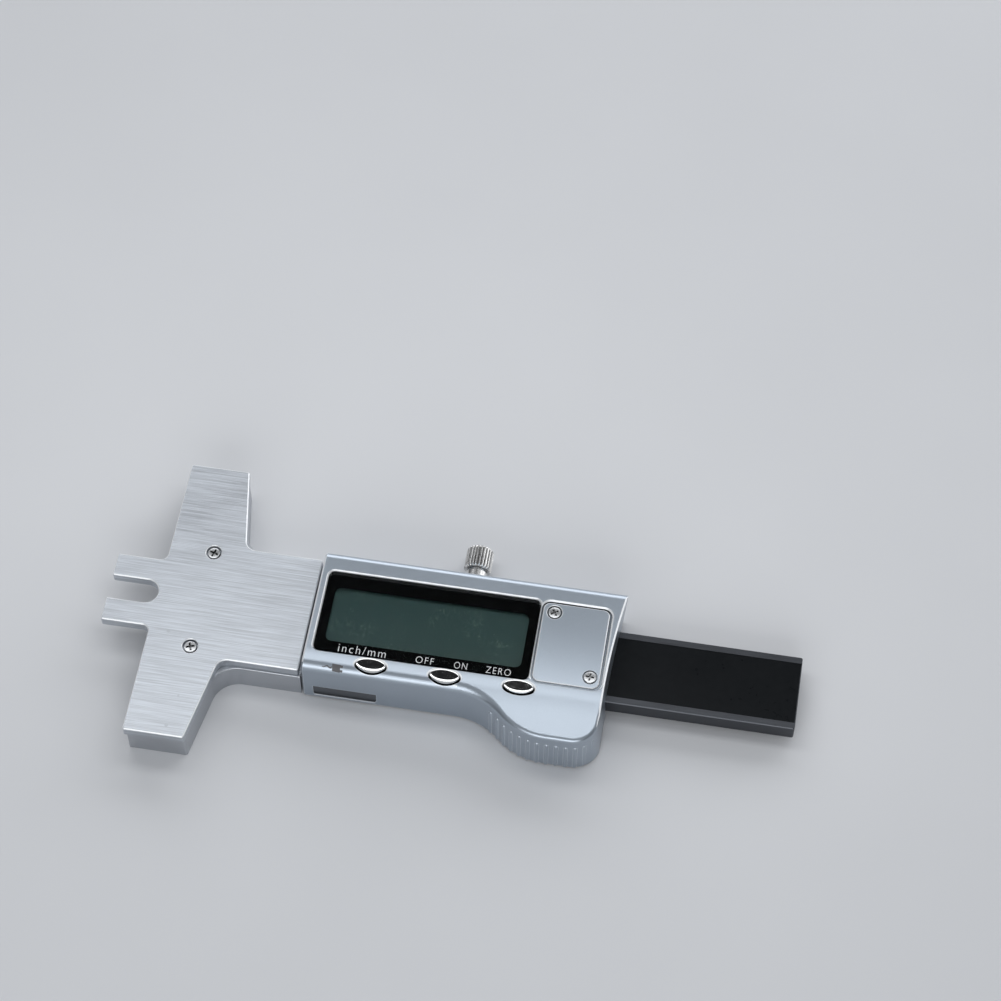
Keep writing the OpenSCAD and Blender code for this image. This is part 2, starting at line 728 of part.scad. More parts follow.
module grip_ribs() {
    for (i = [0:rib_count - 1]) {
        p = thumb_at(first_rib + i * rib_pitch);
        inside = rib_r - rib_proud;
        x = p[0] - p[2] * inside;
        y = p[1] - p[3] * inside;
        top = housing_h - rib_drop - crown_drop(-y);
        post(x, y, skirt_gap, top, rib_r);
        translate([x, y, top]) sphere(r = rib_r, $fn = 24);
    }
}

// Hollow under the thumb rest, with walls of even thickness and a web across it
module thumb_core() {
    wall = 1.5;
    inner_y = -cavity_y - wall;
    web_x = swell_end + 1;
    curve = [
        for (i = [0:curve_steps]) let (b = swell_angle * 0.88 * (1 - i / curve_steps), r = swell_r - wall)
            [swell_end - r * sin(b), -thumb_y + swell_r - r * cos(b)]
    ];
    round_end = [
        for (i = [0:curve_steps]) let (c = 90 * i / curve_steps, r = thumb_corner_r - wall)
            [thumb_corner_x + r * sin(c), -thumb_y + thumb_corner_r - r * cos(c)]
    ];
    outline = concat(curve, round_end, [[housing_end - wall, inner_y], [curve[0][0] - 1.2, inner_y]]);
    difference() {
        linear_extrude(housing_h - crown_drop(thumb_y) - wall) polygon(outline);
        block(web_x, web_x + 1.1, -thumb_y, 0, -past, housing_h);
    }
}

// Ring of an ellipse about the middle of button i
function oval(i, grow, z, n = 28) = [
    for (k = [0:n - 1]) let (a = 360 * k / n)
        [button_x(i) + (button_l / 2 + grow) * cos(a), -button_y + (button_w / 2 + grow) * sin(a), z]
];

function port_x() = housing_x + port_start;

module housing() {
    lens_z = housing_h - 0.05 - lens_t;
    ledge = 0.9;
    mask_t = 0.1;
    button_floor = roof_z - 0.95;
    color(satin_silver) placed() difference() {
        union() {
            difference() {
                union() {
                    housing_skin();
                    grip_ribs();
                }
                block(housing_x - 9, housing_x, -side_y - past, side_y + past, -past, housing_h + past);
                end_trim();
                // Room for the frame, for the board and display, and for the beam's way out
                block(housing_x - past, frame_end + 0.1, -cavity_y, cavity_y, -past, rail_top);
                block(cavity_x, block_x, -cavity_y, cavity_y, -past, roof_z);
                block(block_x - past, frame_end + 0.1, -cavity_y, cavity_y, -past, film_top);
                block(frame_end - past, housing_end + 9, -channel_y - 0.1, channel_y + 0.1, -past, beam_top + 0.25);
            }
            // Screw bosses that stand on the frame's rails
            for (p = [housing_screw_at[0], housing_screw_at[1]])
                post(p[0], p[1] * rail_mid_y, rail_top, roof_z + 0.2, boss_r);
        }
        // Seat of the lens and the opening under it
        translate([0, 0, lens_z - mask_t]) linear_extrude(roof_t + past)
            polygon(rounded(box_corners(window_x - lay_gap, window_y - window_w / 2 - lay_gap,
                window_l + 2 * lay_gap, window_w + 2 * lay_gap, window_r)));
        block(window_x + ledge, window_x + window_l - ledge,
            window_y - window_w / 2 + ledge, window_y + window_w / 2 - ledge, roof_z - past, housing_h);
        // Seat of the battery cover, the cell's well and the way of its spring
        translate([0, 0, cover_z]) linear_extrude(roof_t)
            polygon(rounded(box_corners(cover_x - cover_groove, cover_y - cover_w / 2 - cover_groove,
                cover_l + 2 * cover_groove, cover_w + 2 * cover_groove, cover_r + cover_groove)));
        post(cell_x, cover_y, film_top - past, housing_h, cell_d / 2 + 0.2);
        block(block_x - past, cell_x - 4, cover_y - 2.6, cover_y + 2.6, film_top - past, roof_z);
        for (side = [-1, 1])
            post(cover_screw(side)[0], cover_screw(side)[1], cover_z - cover_screw_reach - tip_gap, housing_h,
                fine_shank_d / 2 + shank_gap);
        // Buttons, lock screw, gib screws, housing screws, data port and the hollow thumb rest
        for (i = [0:2]) translate([0, 0, button_floor]) linear_extrude(roof_t + 2)
            polygon([for (p = oval(i, 0.1, 0)) xy(p)]);
        ears(2, 0.15, board_top, roof_z);
        rod_y(lock_x, lock_z, 0, side_y + past, lock_d / 2 + 0.4);
        for (x = gib_screw_xs) rod_y(x, gib_screw_z, 0, side_y + past, gib_screw_d / 2 + 0.2);
        for (p = housing_screw_at)
            post(p[0], p[1] * rail_mid_y, -past, rail_top + housing_screw_reach + housing_head_sink + tip_gap,
                shank_d / 2 + shank_gap);
        block(port_x(), port_x() + port_l, -side_y - 3, -cavity_y + past, port_z, port_z + port_h);
        translate([0, 0, -past]) thumb_core();
    }
}

// Centre of a cover screw: left rear and right near
function cover_screw(side) = side < 0
    ? [cover_x + cover_screw_dx, cover_y + cover_w / 2 - cover_screw_dy]
    : [cover_x + cover_l - cover_screw_dx, cover_y - cover_w / 2 + cover_screw_dy];

module housing_screws() {
    color(steel) placed() for (p = housing_screw_at)
        translate([p[0], p[1] * rail_mid_y, housing_head_sink]) mirror([0, 0, 1])
        small_screw(shank_d, rail_top + housing_screw_reach, 30);
}

module display_lens() {
    color([0.20, 0.24, 0.25, 0.5]) placed()
        bevelled(box_corners(window_x, window_y - window_w / 2, window_l, window_w, window_r),
            housing_h - 0.05 - lens_t, lens_t, 0.15);
}

// Black print under the lens, open over the display
module lens_mask() {
    z = housing_h - 0.05 - lens_t - 0.1;
    color([0.03, 0.03, 0.04]) placed() difference() {
        translate([0, 0, z]) linear_extrude(0.1)
            polygon(rounded(box_corners(window_x, window_y - window_w / 2, window_l, window_w, window_r)));
        translate([0, 0, z - past]) linear_extrude(2 * past)
            polygon(rounded(box_corners(view_x, view_y - view_w / 2, view_l, view_w, 0.8)));
    }
}

module lcd_panel() {
    color([0.36, 0.42, 0.40]) placed()
        block(view_x - 0.9, view_x + view_l + 0.9, view_y - view_w / 2 - 1, view_y + view_w / 2 + 1,
            roof_z - lay_gap - lcd_t, roof_z - lay_gap);
}

module zebra_strips() {
    color([0.80, 0.75, 0.78]) placed() for (y = [view_y - view_w / 2 - 0.9, view_y + view_w / 2 + 0.9 - zebra_w])
        block(view_x + 1, view_x + view_l - 1, y, y + zebra_w, board_top, roof_z - lay_gap - lcd_t);
}

module circuit_board() {
    color([0.10, 0.32, 0.20]) placed() difference() {
        block(board_x, board_end, -cavity_y + 0.15, cavity_y - 0.15, rail_top, board_top);
        for (p = [housing_screw_at[0], housing_screw_at[1]])
            post(p[0], p[1] * rail_mid_y, 0, board_top + past, boss_r + 0.15);
        for (p = board_screw_at)
            post(p[0], p[1] * rail_mid_y, 0, board_top + past, fine_shank_d / 2 + 0.1);
    }
}

// Low dome of a given radius and height, standing on z = 0
module dome(r, height) {
    ball_r = (r * r + height * height) / (2 * height);
    reach = asin(r / ball_r);
    rotate_extrude() polygon(concat(
        [[0, 0]],
        [for (i = [0:curve_steps]) let (a = reach * (1 - i / curve_steps))
            [ball_r * sin(a), height - ball_r * (1 - cos(a))]]
    ));
}

// Drop of black resin over the chip
module chip_cover() {
    color([0.05, 0.05, 0.06]) placed() translate([view_x + view_l / 2, 0, board_top]) dome(chip_r, chip_h);
}

module board_screws() {
    color(steel) placed() for (p = board_screw_at)
        translate([p[0], p[1] * rail_mid_y, board_top]) difference() {
            union() {
                cylinder(h = 0.5, r = fine_shank_d / 2 + 0.45);
                translate([0, 0, -board_t - board_screw_reach])
                    cylinder(h = board_t + board_screw_reach + 0.2, d = fine_shank_d);
            }
            translate([0, 0, 0.5]) cross_recess(1.6);
        }
}

module switch_domes() {
    color([0.80, 0.80, 0.78]) placed() for (i = [0:2])
        translate([button_x(i), -dome_y, board_top]) dome(dome_r, dome_h);
}

// Bar that reaches past both ends of button i, larger by grow
module ears(i, grow, z0, z1) {
    reach = button_l / 2 + button_ear + grow;
    half_w = button_ear_w / 2 + grow;
    block(button_x(i) - reach, button_x(i) + reach, -button_y - half_w, -button_y + half_w, z0, z1);
}

// Oval button: crowned cap, ears that hold it under the roof, and a stem over its switch
module button(i) {
    foot = roof_z - 0.5;
    shoulder = housing_h - 0.1;
    top = housing_h + button_proud;
    stem_z = board_top + dome_h + button_travel + switch_gap;
    crown = [for (t = [30, 55, 75]) oval(i, -button_w / 2 * (1 - cos(t)), shoulder + (top - shoulder) * sin(t))];
    color([0.86, 0.87, 0.88]) placed() {
        loft(concat([oval(i, 0, foot), oval(i, 0, shoulder)], crown));
        ears(i, 0, foot, roof_z - run_gap);
        post(button_x(i), -dome_y, stem_z, foot + 0.2, 0.9);
    }
}
module button_inch_mm() button(0);
module button_off_on() button(1);
module button_zero() button(2);

// Cover of the data port: panel in the wall, lip at its foot and a plug behind it
module port_cover() {
    gap = 0.05;
    color(satin_silver) placed() {
        block(port_x() + gap, port_x() + port_l - gap, -side_y, -cavity_y - 0.1, port_z + gap, port_z + port_h - gap);
        block(port_x() + gap, port_x() + port_l - gap, -side_y - port_lip, -side_y + 0.2, port_z + gap, port_z + 0.45);
        block(port_x() + 1.2, port_x() + port_l - 1.2, -cavity_y - 0.3, -frame_y + 1.2, port_z + 0.6, port_z + port_h - 0.6);
    }
}

// Gold pads under the board's edge, reached through the port
module port_contacts() {
    pitch = (port_l - 4) / 4;
    color([0.83, 0.67, 0.25]) placed() for (i = [0:3])
        translate([port_x() + 2 + (i + 0.5) * pitch, -frame_y + 0.3, rail_top - 0.1])
        translate([-0.6, 0, 0]) cube([1.2, 1.7, 0.1]);
}

module battery_cell() {
    z = cover_z - 0.03 - cell_h;
    color([0.75, 0.76, 0.78]) placed() translate([cell_x, cover_y, 0]) {
        rotate_extrude() polygon([
            [0, z],
            [cell_d / 2 - 1.1, z],
            [cell_d / 2 - 1.1, z + 0.3],
            [cell_d / 2 - 0.3, z + 0.3],
            [cell_d / 2, z + 0.6],
            [cell_d / 2, z + cell_h - 0.25],
            [cell_d / 2 - 0.25, z + cell_h],
            [0, z + cell_h]
        ]);
    }
}

module battery_cover() {
    color(satin_silver) placed() difference() {
        bevelled(box_corners(cover_x, cover_y - cover_w / 2, cover_l, cover_w, cover_r), cover_z, cover_t, 0.12);
        for (side = [-1, 1]) translate([cover_screw(side)[0], cover_screw(side)[1], 0]) {
            post(0, 0, cover_z - past, housing_h, fine_shank_d / 2 + 0.1);
            post(0, 0, cover_z + cover_t * 0.35, housing_h + past, head_d / 2 + 0.25);
        }
    }
}

module cover_screws() {
    seat = cover_z + cover_t * 0.35;
    color(steel) placed() for (side = [-1, 1])
        translate([cover_screw(side)[0], cover_screw(side)[1], seat]) difference() {
            union() {
                cylinder(h = housing_h - seat - 0.05, d = head_d);
                translate([0, 0, -cover_screw_reach]) cylinder(h = cover_screw_reach + 0.1, d = fine_shank_d);
            }
            translate([0, 0, housing_h - seat + 0.05]) rotate(25) cross_recess(head_d);
        }
}

// Spring beside the cell, soldered to the board
module battery_spring() {
    left = cell_x - cell_d / 2 - 0.25;
    color([0.83, 0.70, 0.40]) placed() {
        block(left, left + 0.2, cover_y - 2, cover_y + 2, board_top, roof_z - 0.6);
        block(board_end - 1.2, left + 0.2, cover_y - 2, cover_y + 2, board_top, board_top + 0.2);
    }
}

// Strip under the cell, soldered to the board's end
module battery_strip() {
    color([0.83, 0.70, 0.40]) placed() {
        block(board_end, cell_x + 4, cover_y - 1.5, cover_y + 1.5, film_top, film_top + 0.1);
        block(board_end, board_end + 0.1, cover_y - 1.5, cover_y + 1.5, film_top, board_top);
    }
}

module insulating_film() {
    color([0.75, 0.45, 0.12]) placed() difference() {
        block(block_x, frame_end, -cavity_y + 0.15, cavity_y - 0.15, rail_top, film_top);
        for (p = [housing_screw_at[2], housing_screw_at[3]])
            post(p[0], p[1] * rail_mid_y, 0, film_top + past, shank_d / 2 + 0.1);
    }
}

slider_frame();
fork_plate();
plate_screws();
beam();
scale_strip();
gib_strip();
gib_screws();
stop_pin();
lock_screw();
lock_pad();
housing();
housing_screws();
display_lens();
lens_mask();
lcd_panel();
zebra_strips();
circuit_board();
chip_cover();
board_screws();
switch_domes();
button_inch_mm();
button_off_on();
button_zero();
port_cover();
port_contacts();
battery_cell();
battery_cover();
cover_screws();
battery_spring();
battery_strip();
insulating_film();
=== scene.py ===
# %% [markdown]
# # A digital string action gauge
# A guitar maker stands the two prongs of this gauge on a fret, with a string in the slot between them,
# and slides a steel probe down until it meets the string. The display then reads the string's height.
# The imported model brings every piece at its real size. This lesson gives the pieces their finish, and
# rebuilds those whose soft curves and fine edges need more than the model's plain facets.

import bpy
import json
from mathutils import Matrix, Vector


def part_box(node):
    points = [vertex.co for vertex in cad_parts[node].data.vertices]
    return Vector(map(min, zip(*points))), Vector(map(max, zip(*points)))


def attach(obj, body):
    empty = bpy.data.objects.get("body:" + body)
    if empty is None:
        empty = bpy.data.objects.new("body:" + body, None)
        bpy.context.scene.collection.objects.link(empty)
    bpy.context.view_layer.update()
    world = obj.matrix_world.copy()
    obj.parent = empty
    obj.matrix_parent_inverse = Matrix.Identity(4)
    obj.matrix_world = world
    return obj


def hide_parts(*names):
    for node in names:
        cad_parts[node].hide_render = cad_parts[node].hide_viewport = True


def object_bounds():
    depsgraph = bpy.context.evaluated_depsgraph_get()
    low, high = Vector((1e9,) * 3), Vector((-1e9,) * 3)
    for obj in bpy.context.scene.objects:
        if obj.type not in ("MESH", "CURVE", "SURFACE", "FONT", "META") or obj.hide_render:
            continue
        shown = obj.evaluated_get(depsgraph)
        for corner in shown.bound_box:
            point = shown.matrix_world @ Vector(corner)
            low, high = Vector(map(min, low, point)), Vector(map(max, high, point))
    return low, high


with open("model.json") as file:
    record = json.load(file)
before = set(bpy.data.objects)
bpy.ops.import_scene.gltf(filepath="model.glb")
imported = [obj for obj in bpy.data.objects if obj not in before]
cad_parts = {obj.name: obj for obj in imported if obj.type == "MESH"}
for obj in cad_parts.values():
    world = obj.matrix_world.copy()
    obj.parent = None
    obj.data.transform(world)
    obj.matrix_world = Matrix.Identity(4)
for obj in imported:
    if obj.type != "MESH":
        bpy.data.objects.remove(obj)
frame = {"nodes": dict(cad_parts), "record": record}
cad_low, cad_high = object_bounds()
print("The model measures", [round(v * 1000, 1) for v in cad_high - cad_low], "mm")

# %% [markdown]
# ## Units and places
# All sizes below are in millimetres, as on a drawing. Places count from the plate's measuring face,
# so x is the distance behind that face, y is measured from the beam's axis and z from the flat back.
# Where the model can give a place, it is asked for it, so that nothing has to be fitted by eye.

# %% Millimetres from the measuring face
import json
import math

import bmesh
import bpy
from mathutils import Matrix, Vector

MM = 0.001
PRONG_LENGTH = 9.8
FACE_X = cad_low.x / MM + PRONG_LENGTH


def degrees(*angles):
    """Angles in degrees turned into radians, which Blender and Python count in."""
    return [math.radians(a) for a in angles]


def place(x, y, z):
    """The point of Blender's space that lies at these millimetres."""
    return Vector(((x + FACE_X) * MM, y * MM, z * MM))


def span(node):
    """Lowest and highest corner of a node of the model, in millimetres."""
    low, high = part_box(node)
    shift = Vector((FACE_X, 0, 0))
    return Vector(low) / MM - shift, Vector(high) / MM - shift


plate_low, plate_high = span("fork_plate")
shell_low, shell_high = span("housing")
print("plate from", plate_low, "to", plate_high)

# %% [markdown]
# ## Camera
# The photograph was taken with a long lens from the front, a little to the right, at about 57 degrees
# above the table.
# A camera is a place and three directions, and writing these out as a matrix keeps the small roll
# that the photographer's hand gave the picture.

# %% Camera at the photograph's angle
AZIMUTH, ELEVATION, ROLL = degrees(8.4613, 57.19, 0.8247)
AIM = (62.6883, 34.4277, 5.2)
DISTANCE = 558.58
SENSOR = 36.0
FOCAL_LENGTH = 99.159

back = Vector((math.sin(AZIMUTH) * math.cos(ELEVATION),
               -math.cos(AZIMUTH) * math.cos(ELEVATION),
               math.sin(ELEVATION)))
level = (-back).cross(Vector((0, 0, 1))).normalized()
upright = level.cross(-back)
right = level * math.cos(ROLL) + upright * math.sin(ROLL)
up = upright * math.cos(ROLL) - level * math.sin(ROLL)

camera = bpy.data.objects.new("camera", bpy.data.cameras.new("camera"))
camera.data.lens = FOCAL_LENGTH
camera.data.sensor_width = SENSOR
camera.matrix_world = Matrix.LocRotScale(
    place(*AIM) + back * DISTANCE * MM, Matrix((right, up, back)).transposed(), None)
bpy.context.scene.collection.objects.link(camera)
bpy.context.scene.camera = camera
bpy.context.scene.view_settings.view_transform = "Standard"
print("camera at", camera.location)

# %% [markdown]
# ## Arithmetic with sockets
# A material is a graph of nodes. Written as expressions it reads like the formula that it is, so one
# small class stands for an output socket and turns plus, minus and times into Math nodes. A second one
# holds a whole graph and adds any other node from its type, its settings and its inputs.

# %% Sockets that can be added and multiplied
class Wire:
    """An output socket. Arithmetic on it adds Math nodes to its graph."""

    def __init__(self, graph, socket):
        self.graph, self.socket = graph, socket

    def math(self, operation, first, second, clamp=False):
        settings = {"operation": operation, "use_clamp": clamp}
        return self.graph.node("ShaderNodeMath", settings, {0: first, 1: second})

    def __add__(self, other):
        return self.math("ADD", self, other)

    def __sub__(self, other):
        return self.math("SUBTRACT", self, other)

    def __rsub__(self, other):
        return self.math("SUBTRACT", other, self)

    def __mul__(self, other):
        return self.math("MULTIPLY", self, other)

    __radd__, __rmul__ = __add__, __mul__

    def held(self):
        """The value held between 0 and 1."""
        return self.math("ADD", self, 0.0, clamp=True)

    def ramp(self, start, stop):
        """0 below start, 1 above stop and a soft step between them."""
        inputs = {"Value": self, "From Min": start, "From Max": stop}
        return self.graph.node("ShaderNodeMapRange", {"interpolation_type": "SMOOTHSTEP"}, inputs)


class Graph:
    """The nodes of one material, or of the world."""

    def __init__(self, owner):
        owner.use_nodes = True
        self.tree = owner.node_tree
        self.tree.nodes.clear()

    def node(self, kind, settings=None, inputs=None, output=0):
        made = self.tree.nodes.new(kind)
        for name, value in (settings or {}).items():
            setattr(made, name, value)
        for key, value in (inputs or {}).items():
            if isinstance(value, Wire):
                self.tree.links.new(value.socket, made.inputs[key])
            else:
                made.inputs[key].default_value = value
        return Wire(self, made.outputs[output]) if made.outputs else made

    def mix(self, factor, first, second):
        """Blends two colours."""
        return self.node("ShaderNodeMix", {"data_type": "RGBA"}, {0: factor, 6: first, 7: second}, output=2)

    def dot(self, first, second):
        """How far two directions agree: 1 when they are the same and 0 when they are square."""
        settings = {"operation": "DOT_PRODUCT"}
        return self.node("ShaderNodeVectorMath", settings, {0: first, 1: second}, output=1)

    def scaled_place(self, per_mm):
        """The object's own coordinates, with this many units in a millimetre, in all or along each axis."""
        scale = [v / MM for v in per_mm] if isinstance(per_mm, (list, tuple)) else [per_mm / MM] * 3
        where = self.node("ShaderNodeTexCoord", output=3)
        return self.node("ShaderNodeMapping", None, {"Vector": where, "Scale": scale})

    def grain(self, per_mm, detail, roughness=0.5):
        """Noise with this many ripples in a millimetre, around 0.5."""
        inputs = {"Vector": self.scaled_place(per_mm), "Scale": 1.0, "Detail": detail, "Roughness": roughness}
        return self.node("ShaderNodeTexNoise", None, inputs)

    def spots(self, per_mm, size):
        """1 inside small spots that lie scattered over the surface."""
        inputs = {"Vector": self.scaled_place(per_mm), "Scale": 1.0}
        return 1.0 - self.node("ShaderNodeTexVoronoi", None, inputs).ramp(size * 0.5, size)


def linear(*screen):
    """Red, green and blue as a screen shows them, 0 to 255, turned into the light they stand for."""
    light = [v / 255 / 12.92 if v <= 10 else ((v / 255 + 0.055) / 1.055) ** 2.4 for v in screen]
    return (*light, 1.0)


print("sockets are ready")

# %% [markdown]
# ## Floor, world and lamps
# Steel shows what stands round it, so the room matters as much as the metal. A wide soft box stands
# behind the gauge, a narrow one hangs over it, a third lights its rounded front edges, and a low one at the
# right shows in every bevel that faces it. Where the flat display would mirror the room into a viewer's
# eye, a black flag keeps the ceiling dark, as photographers do for glass. The floor is plain and pale and
# keeps the gauge's shadow.

# %% Floor
FLOOR_SIZE, FLOOR_DROP = 3.0, 0.02

half = FLOOR_SIZE / 2
floor_z = cad_low.z - FLOOR_DROP * MM
floor_corners = [(x * half, y * half, floor_z) for x, y in ((-1, -1), (1, -1), (1, 1), (-1, 1))]
floor_mesh = bpy.data.meshes.new("floor")
floor_mesh.from_pydata(floor_corners, [], [(0, 1, 2, 3)])
floor = bpy.data.objects.new("floor", floor_mesh)
bpy.context.scene.collection.objects.link(floor)

paper = bpy.data.materials.new("paper")
g = Graph(paper)
pale = g.mix(g.grain(0.02, detail=3.0), (0.68, 0.69, 0.71, 1), (0.72, 0.73, 0.75, 1))
matt = g.node("ShaderNodeBsdfPrincipled", None, {"Base Color": pale, "Roughness": 0.9})
g.node("ShaderNodeOutputMaterial", None, {"Surface": matt})
floor_mesh.materials.append(paper)
print("floor at", round(floor_z / MM, 3), "mm")

# %% World
WORLD_LOW, WORLD_HIGH = 0.07, 0.40
SKY_FOOT, SKY_TOP = 0.05, 0.9
FLAG_DIRECTION, FLAG_SHADE = (-0.08, 0.536, 0.84), 0.95
FLAG_EDGE, FLAG_MIDDLE = (math.cos(a) for a in degrees(17, 9))

world = bpy.data.worlds.new("studio")
bpy.context.scene.world = world
g = Graph(world)
direction = g.node("ShaderNodeTexCoord", output=0)
height = g.node("ShaderNodeSeparateXYZ", None, {"Vector": direction}, output=2)
open_air = 1.0 - g.dot(direction, FLAG_DIRECTION).ramp(FLAG_EDGE, FLAG_MIDDLE) * FLAG_SHADE
brightness = (WORLD_LOW + (WORLD_HIGH - WORLD_LOW) * height.ramp(SKY_FOOT, SKY_TOP)) * open_air
sky = g.node("ShaderNodeBackground", None, {"Color": (0.93, 0.96, 1.0, 1), "Strength": brightness})
g.node("ShaderNodeOutputWorld", None, {"Surface": sky})
print("world from", WORLD_LOW, "to", WORLD_HIGH)

# %% Lamps
DAYLIGHT, SKYLIGHT = (0.98, 0.99, 1.0), (0.97, 0.98, 1.0)
LAMP_AIM_Z = 5


def soft_box(name, over, tilt, turn, reach, size, radiance, colour):
    """A soft box that faces the gauge at x over. tilt is its angle from straight up towards the front and
    turn its angle round to the right, both in degrees. radiance is its brightness as a surface."""
    lamp = bpy.data.objects.new(name, bpy.data.lights.new(name, "AREA"))
    lamp.data.shape = "RECTANGLE"
    lamp.data.size, lamp.data.size_y = (v * MM for v in size)
    lamp.data.energy = radiance * math.pi * size[0] * size[1] * MM * MM
    lamp.data.color = colour
    lamp.visible_camera = False
    aim = Matrix.Translation(place(over, 0, LAMP_AIM_Z))
    round_it, over_it = (Matrix.Rotation(math.radians(a), 4, axis) for a, axis in ((turn, "Z"), (tilt, "X")))
    lamp.matrix_world = aim @ round_it @ over_it @ Matrix.Translation((0, 0, reach * MM))
    bpy.context.scene.collection.objects.link(lamp)
    print(name, "gives", round(lamp.data.energy, 2), "W")


soft_box("top_box", 20, -13.5, 0, 175, (240, 46), 2.2, DAYLIGHT)
soft_box("rear_box", 60, -64, -6, 800, (1500, 560), 2.1, SKYLIGHT)
soft_box("front_box", 60, 66, 0, 700, (700, 400), 2.4, DAYLIGHT)
soft_box("side_box", 40, 81, 122, 700, (480, 220), 1.8, DAYLIGHT)

# %% [markdown]
# ## Shapes from outlines
# Most pieces here are flat parts with rounded corners and a fine bevel, or turned parts. Both come
# from rings of points that are joined one above the other. Holes are cut with Blender's Boolean
# modifier, because it leaves exact edges, and each cutter flares at its mouth so that the hole gets
# the bevel that catches the light.

# %% Rings and lofts
def rounded(corners, steps=8):
    """Points of an outline whose corners are x, y and radius, counterclockwise."""
    points = []
    for i, (x, y, radius) in enumerate(corners):
        here = Vector((x, y))
        before, after = (Vector(corners[k % len(corners)][:2]) - here for k in (i - 1, i + 1))
        before.normalize()
        after.normalize()
        half_angle = before.angle(after) / 2
        middle = here + (before + after).normalized() * radius / math.sin(half_angle)
        start = here + before * radius / math.tan(half_angle) - middle
        stop = here + after * radius / math.tan(half_angle) - middle
        first = math.atan2(start.y, start.x)
        sweep = (math.atan2(stop.y, stop.x) - first + math.pi) % (2 * math.pi) - math.pi
        for k in range(steps + 1):
            angle = first + sweep * k / steps
            points.append((middle.x + radius * math.cos(angle), middle.y + radius * math.sin(angle)))
    return points


def inset(corners, distance):
    """The same corners moved inwards."""
    moved = []
    for i, (x, y, radius) in enumerate(corners):
        here = Vector((x, y))
        to_before, to_after = (Vector(corners[k % len(corners)][:2]) - here for k in (i - 1, i + 1))
        turn = 1 if to_after.x * to_before.y - to_after.y * to_before.x > 0 else -1
        to_before.normalize()
        to_after.normalize()
        move = turn * distance / math.sin(to_before.angle(to_after) / 2)
        there = here + (to_before + to_after).normalized() * move
        moved.append((there.x, there.y, max(radius - turn * distance, 0.01)))
    return moved


def box_corners(x0, x1, y0, y1, radius):
    return [(x0, y0, radius), (x1, y0, radius), (x1, y1, radius), (x0, y1, radius)]


def loft(rings):
    """Points and faces of a closed solid through rings of equal length."""
    count = len(rings[0])
    top = (len(rings) - 1) * count
    faces = [tuple(reversed(range(count)))]
    for start in range(0, top, count):
        for i in range(count):
            after = (i + 1) % count
            faces.append((start + i, start + after, start + after + count, start + i + count))
    faces.append(tuple(range(top, top + count)))
    return [p for ring in rings for p in ring], faces


def at_height(outline, z):
    return [(x, y, z) for x, y in outline]


def slab(corners, z0, z1, bevel=0.0, foot_bevel=0.0, steps=8):
    """Flat part with rounded corners and bevelled edges."""
    outline = rounded(corners, steps)
    rings = [at_height(outline, z0 + foot_bevel), at_height(outline, z1 - bevel)]
    if foot_bevel:
        rings.insert(0, at_height(rounded(inset(corners, foot_bevel), steps), z0))
    if bevel:
        rings.append(at_height(rounded(inset(corners, bevel), steps), z1))
    return loft(rings)


def turned(profile, centre, axis="z", steps=64):
    """Part turned on a lathe: radius and height pairs along an axis through the centre."""
    cx, cy, cz = centre
    angles = [2 * math.pi * k / steps for k in range(steps)]
    rings = []
    for radius, along in profile:
        circle = [(radius * math.cos(a), radius * math.sin(a)) for a in angles]
        if axis == "z":
            rings.append([(cx + u, cy + v, cz + along) for u, v in circle])
        else:
            rings.append([(cx + u, cy + along, cz - v) for u, v in circle])
    return loft(rings)


def box(x0, x1, y0, y1, z0, z1):
    return loft([[(x0, y0, z), (x1, y0, z), (x1, y1, z), (x0, y1, z)] for z in (z0, z1)])


print("a rounded square has", len(rounded(box_corners(0, 1, 0, 1, 0.2))), "points")

# %% Objects, cuts and soft shading
def solid(name, *shapes):
    """One object of several closed shapes."""
    points, faces = [], []
    for shape_points, shape_faces in shapes:
        faces += [tuple(i + len(points) for i in face) for face in shape_faces]
        points += [place(*p) for p in shape_points]
    mesh = bpy.data.meshes.new(name)
    mesh.from_pydata(points, [], faces)
    work = bmesh.new()
    work.from_mesh(mesh)
    bmesh.ops.recalc_face_normals(work, faces=work.faces)
    work.to_mesh(mesh)
    work.free()
    made = bpy.data.objects.new(name, mesh)
    bpy.context.scene.collection.objects.link(made)
    return made


def settle(piece):
    """Turns the piece's modifiers into plain mesh."""
    graph = bpy.context.evaluated_depsgraph_get()
    mesh = bpy.data.meshes.new_from_object(piece.evaluated_get(graph))
    piece.modifiers.clear()
    piece.data = mesh


def combine(piece, operation, *shapes):
    """Joins shapes to a piece, cuts them out of it, or keeps what they share."""
    for number, shape in enumerate(shapes):
        other = solid(f"{piece.name}_{operation.lower()}_{number}", shape)
        modifier = piece.modifiers.new(other.name, "BOOLEAN")
        modifier.operation, modifier.solver, modifier.object = operation, "EXACT", other
        settle(piece)
        bpy.data.objects.remove(other)


def drill(piece, profile, places, steps):
    """Sinks the same turned hole, given as radius and height pairs, at each x, y place."""
    for x, y in places:
        combine(piece, "DIFFERENCE", turned(profile, (x, y, 0), steps=steps))


MERGE = 0.001


def soften(piece, angle=32):
    """Smooth shading with sharp edges only where the surface turns by more than the angle."""
    work = bmesh.new()
    work.from_mesh(piece.data)
    bmesh.ops.remove_doubles(work, verts=work.verts, dist=MERGE * MM)
    bmesh.ops.dissolve_degenerate(work, edges=work.edges, dist=MERGE * MM)
    work.to_mesh(piece.data)
    work.free()
    piece.data.shade_smooth()
    piece.data.set_sharp_from_angle(angle=math.radians(angle))
    weighted = piece.modifiers.new("weighted", "WEIGHTED_NORMAL")
    weighted.keep_sharp = True
    settle(piece)


record = frame["record"]
body_of_node = {node: body for body, nodes in record["behaviour"]["bodies"].items() for node in nodes}


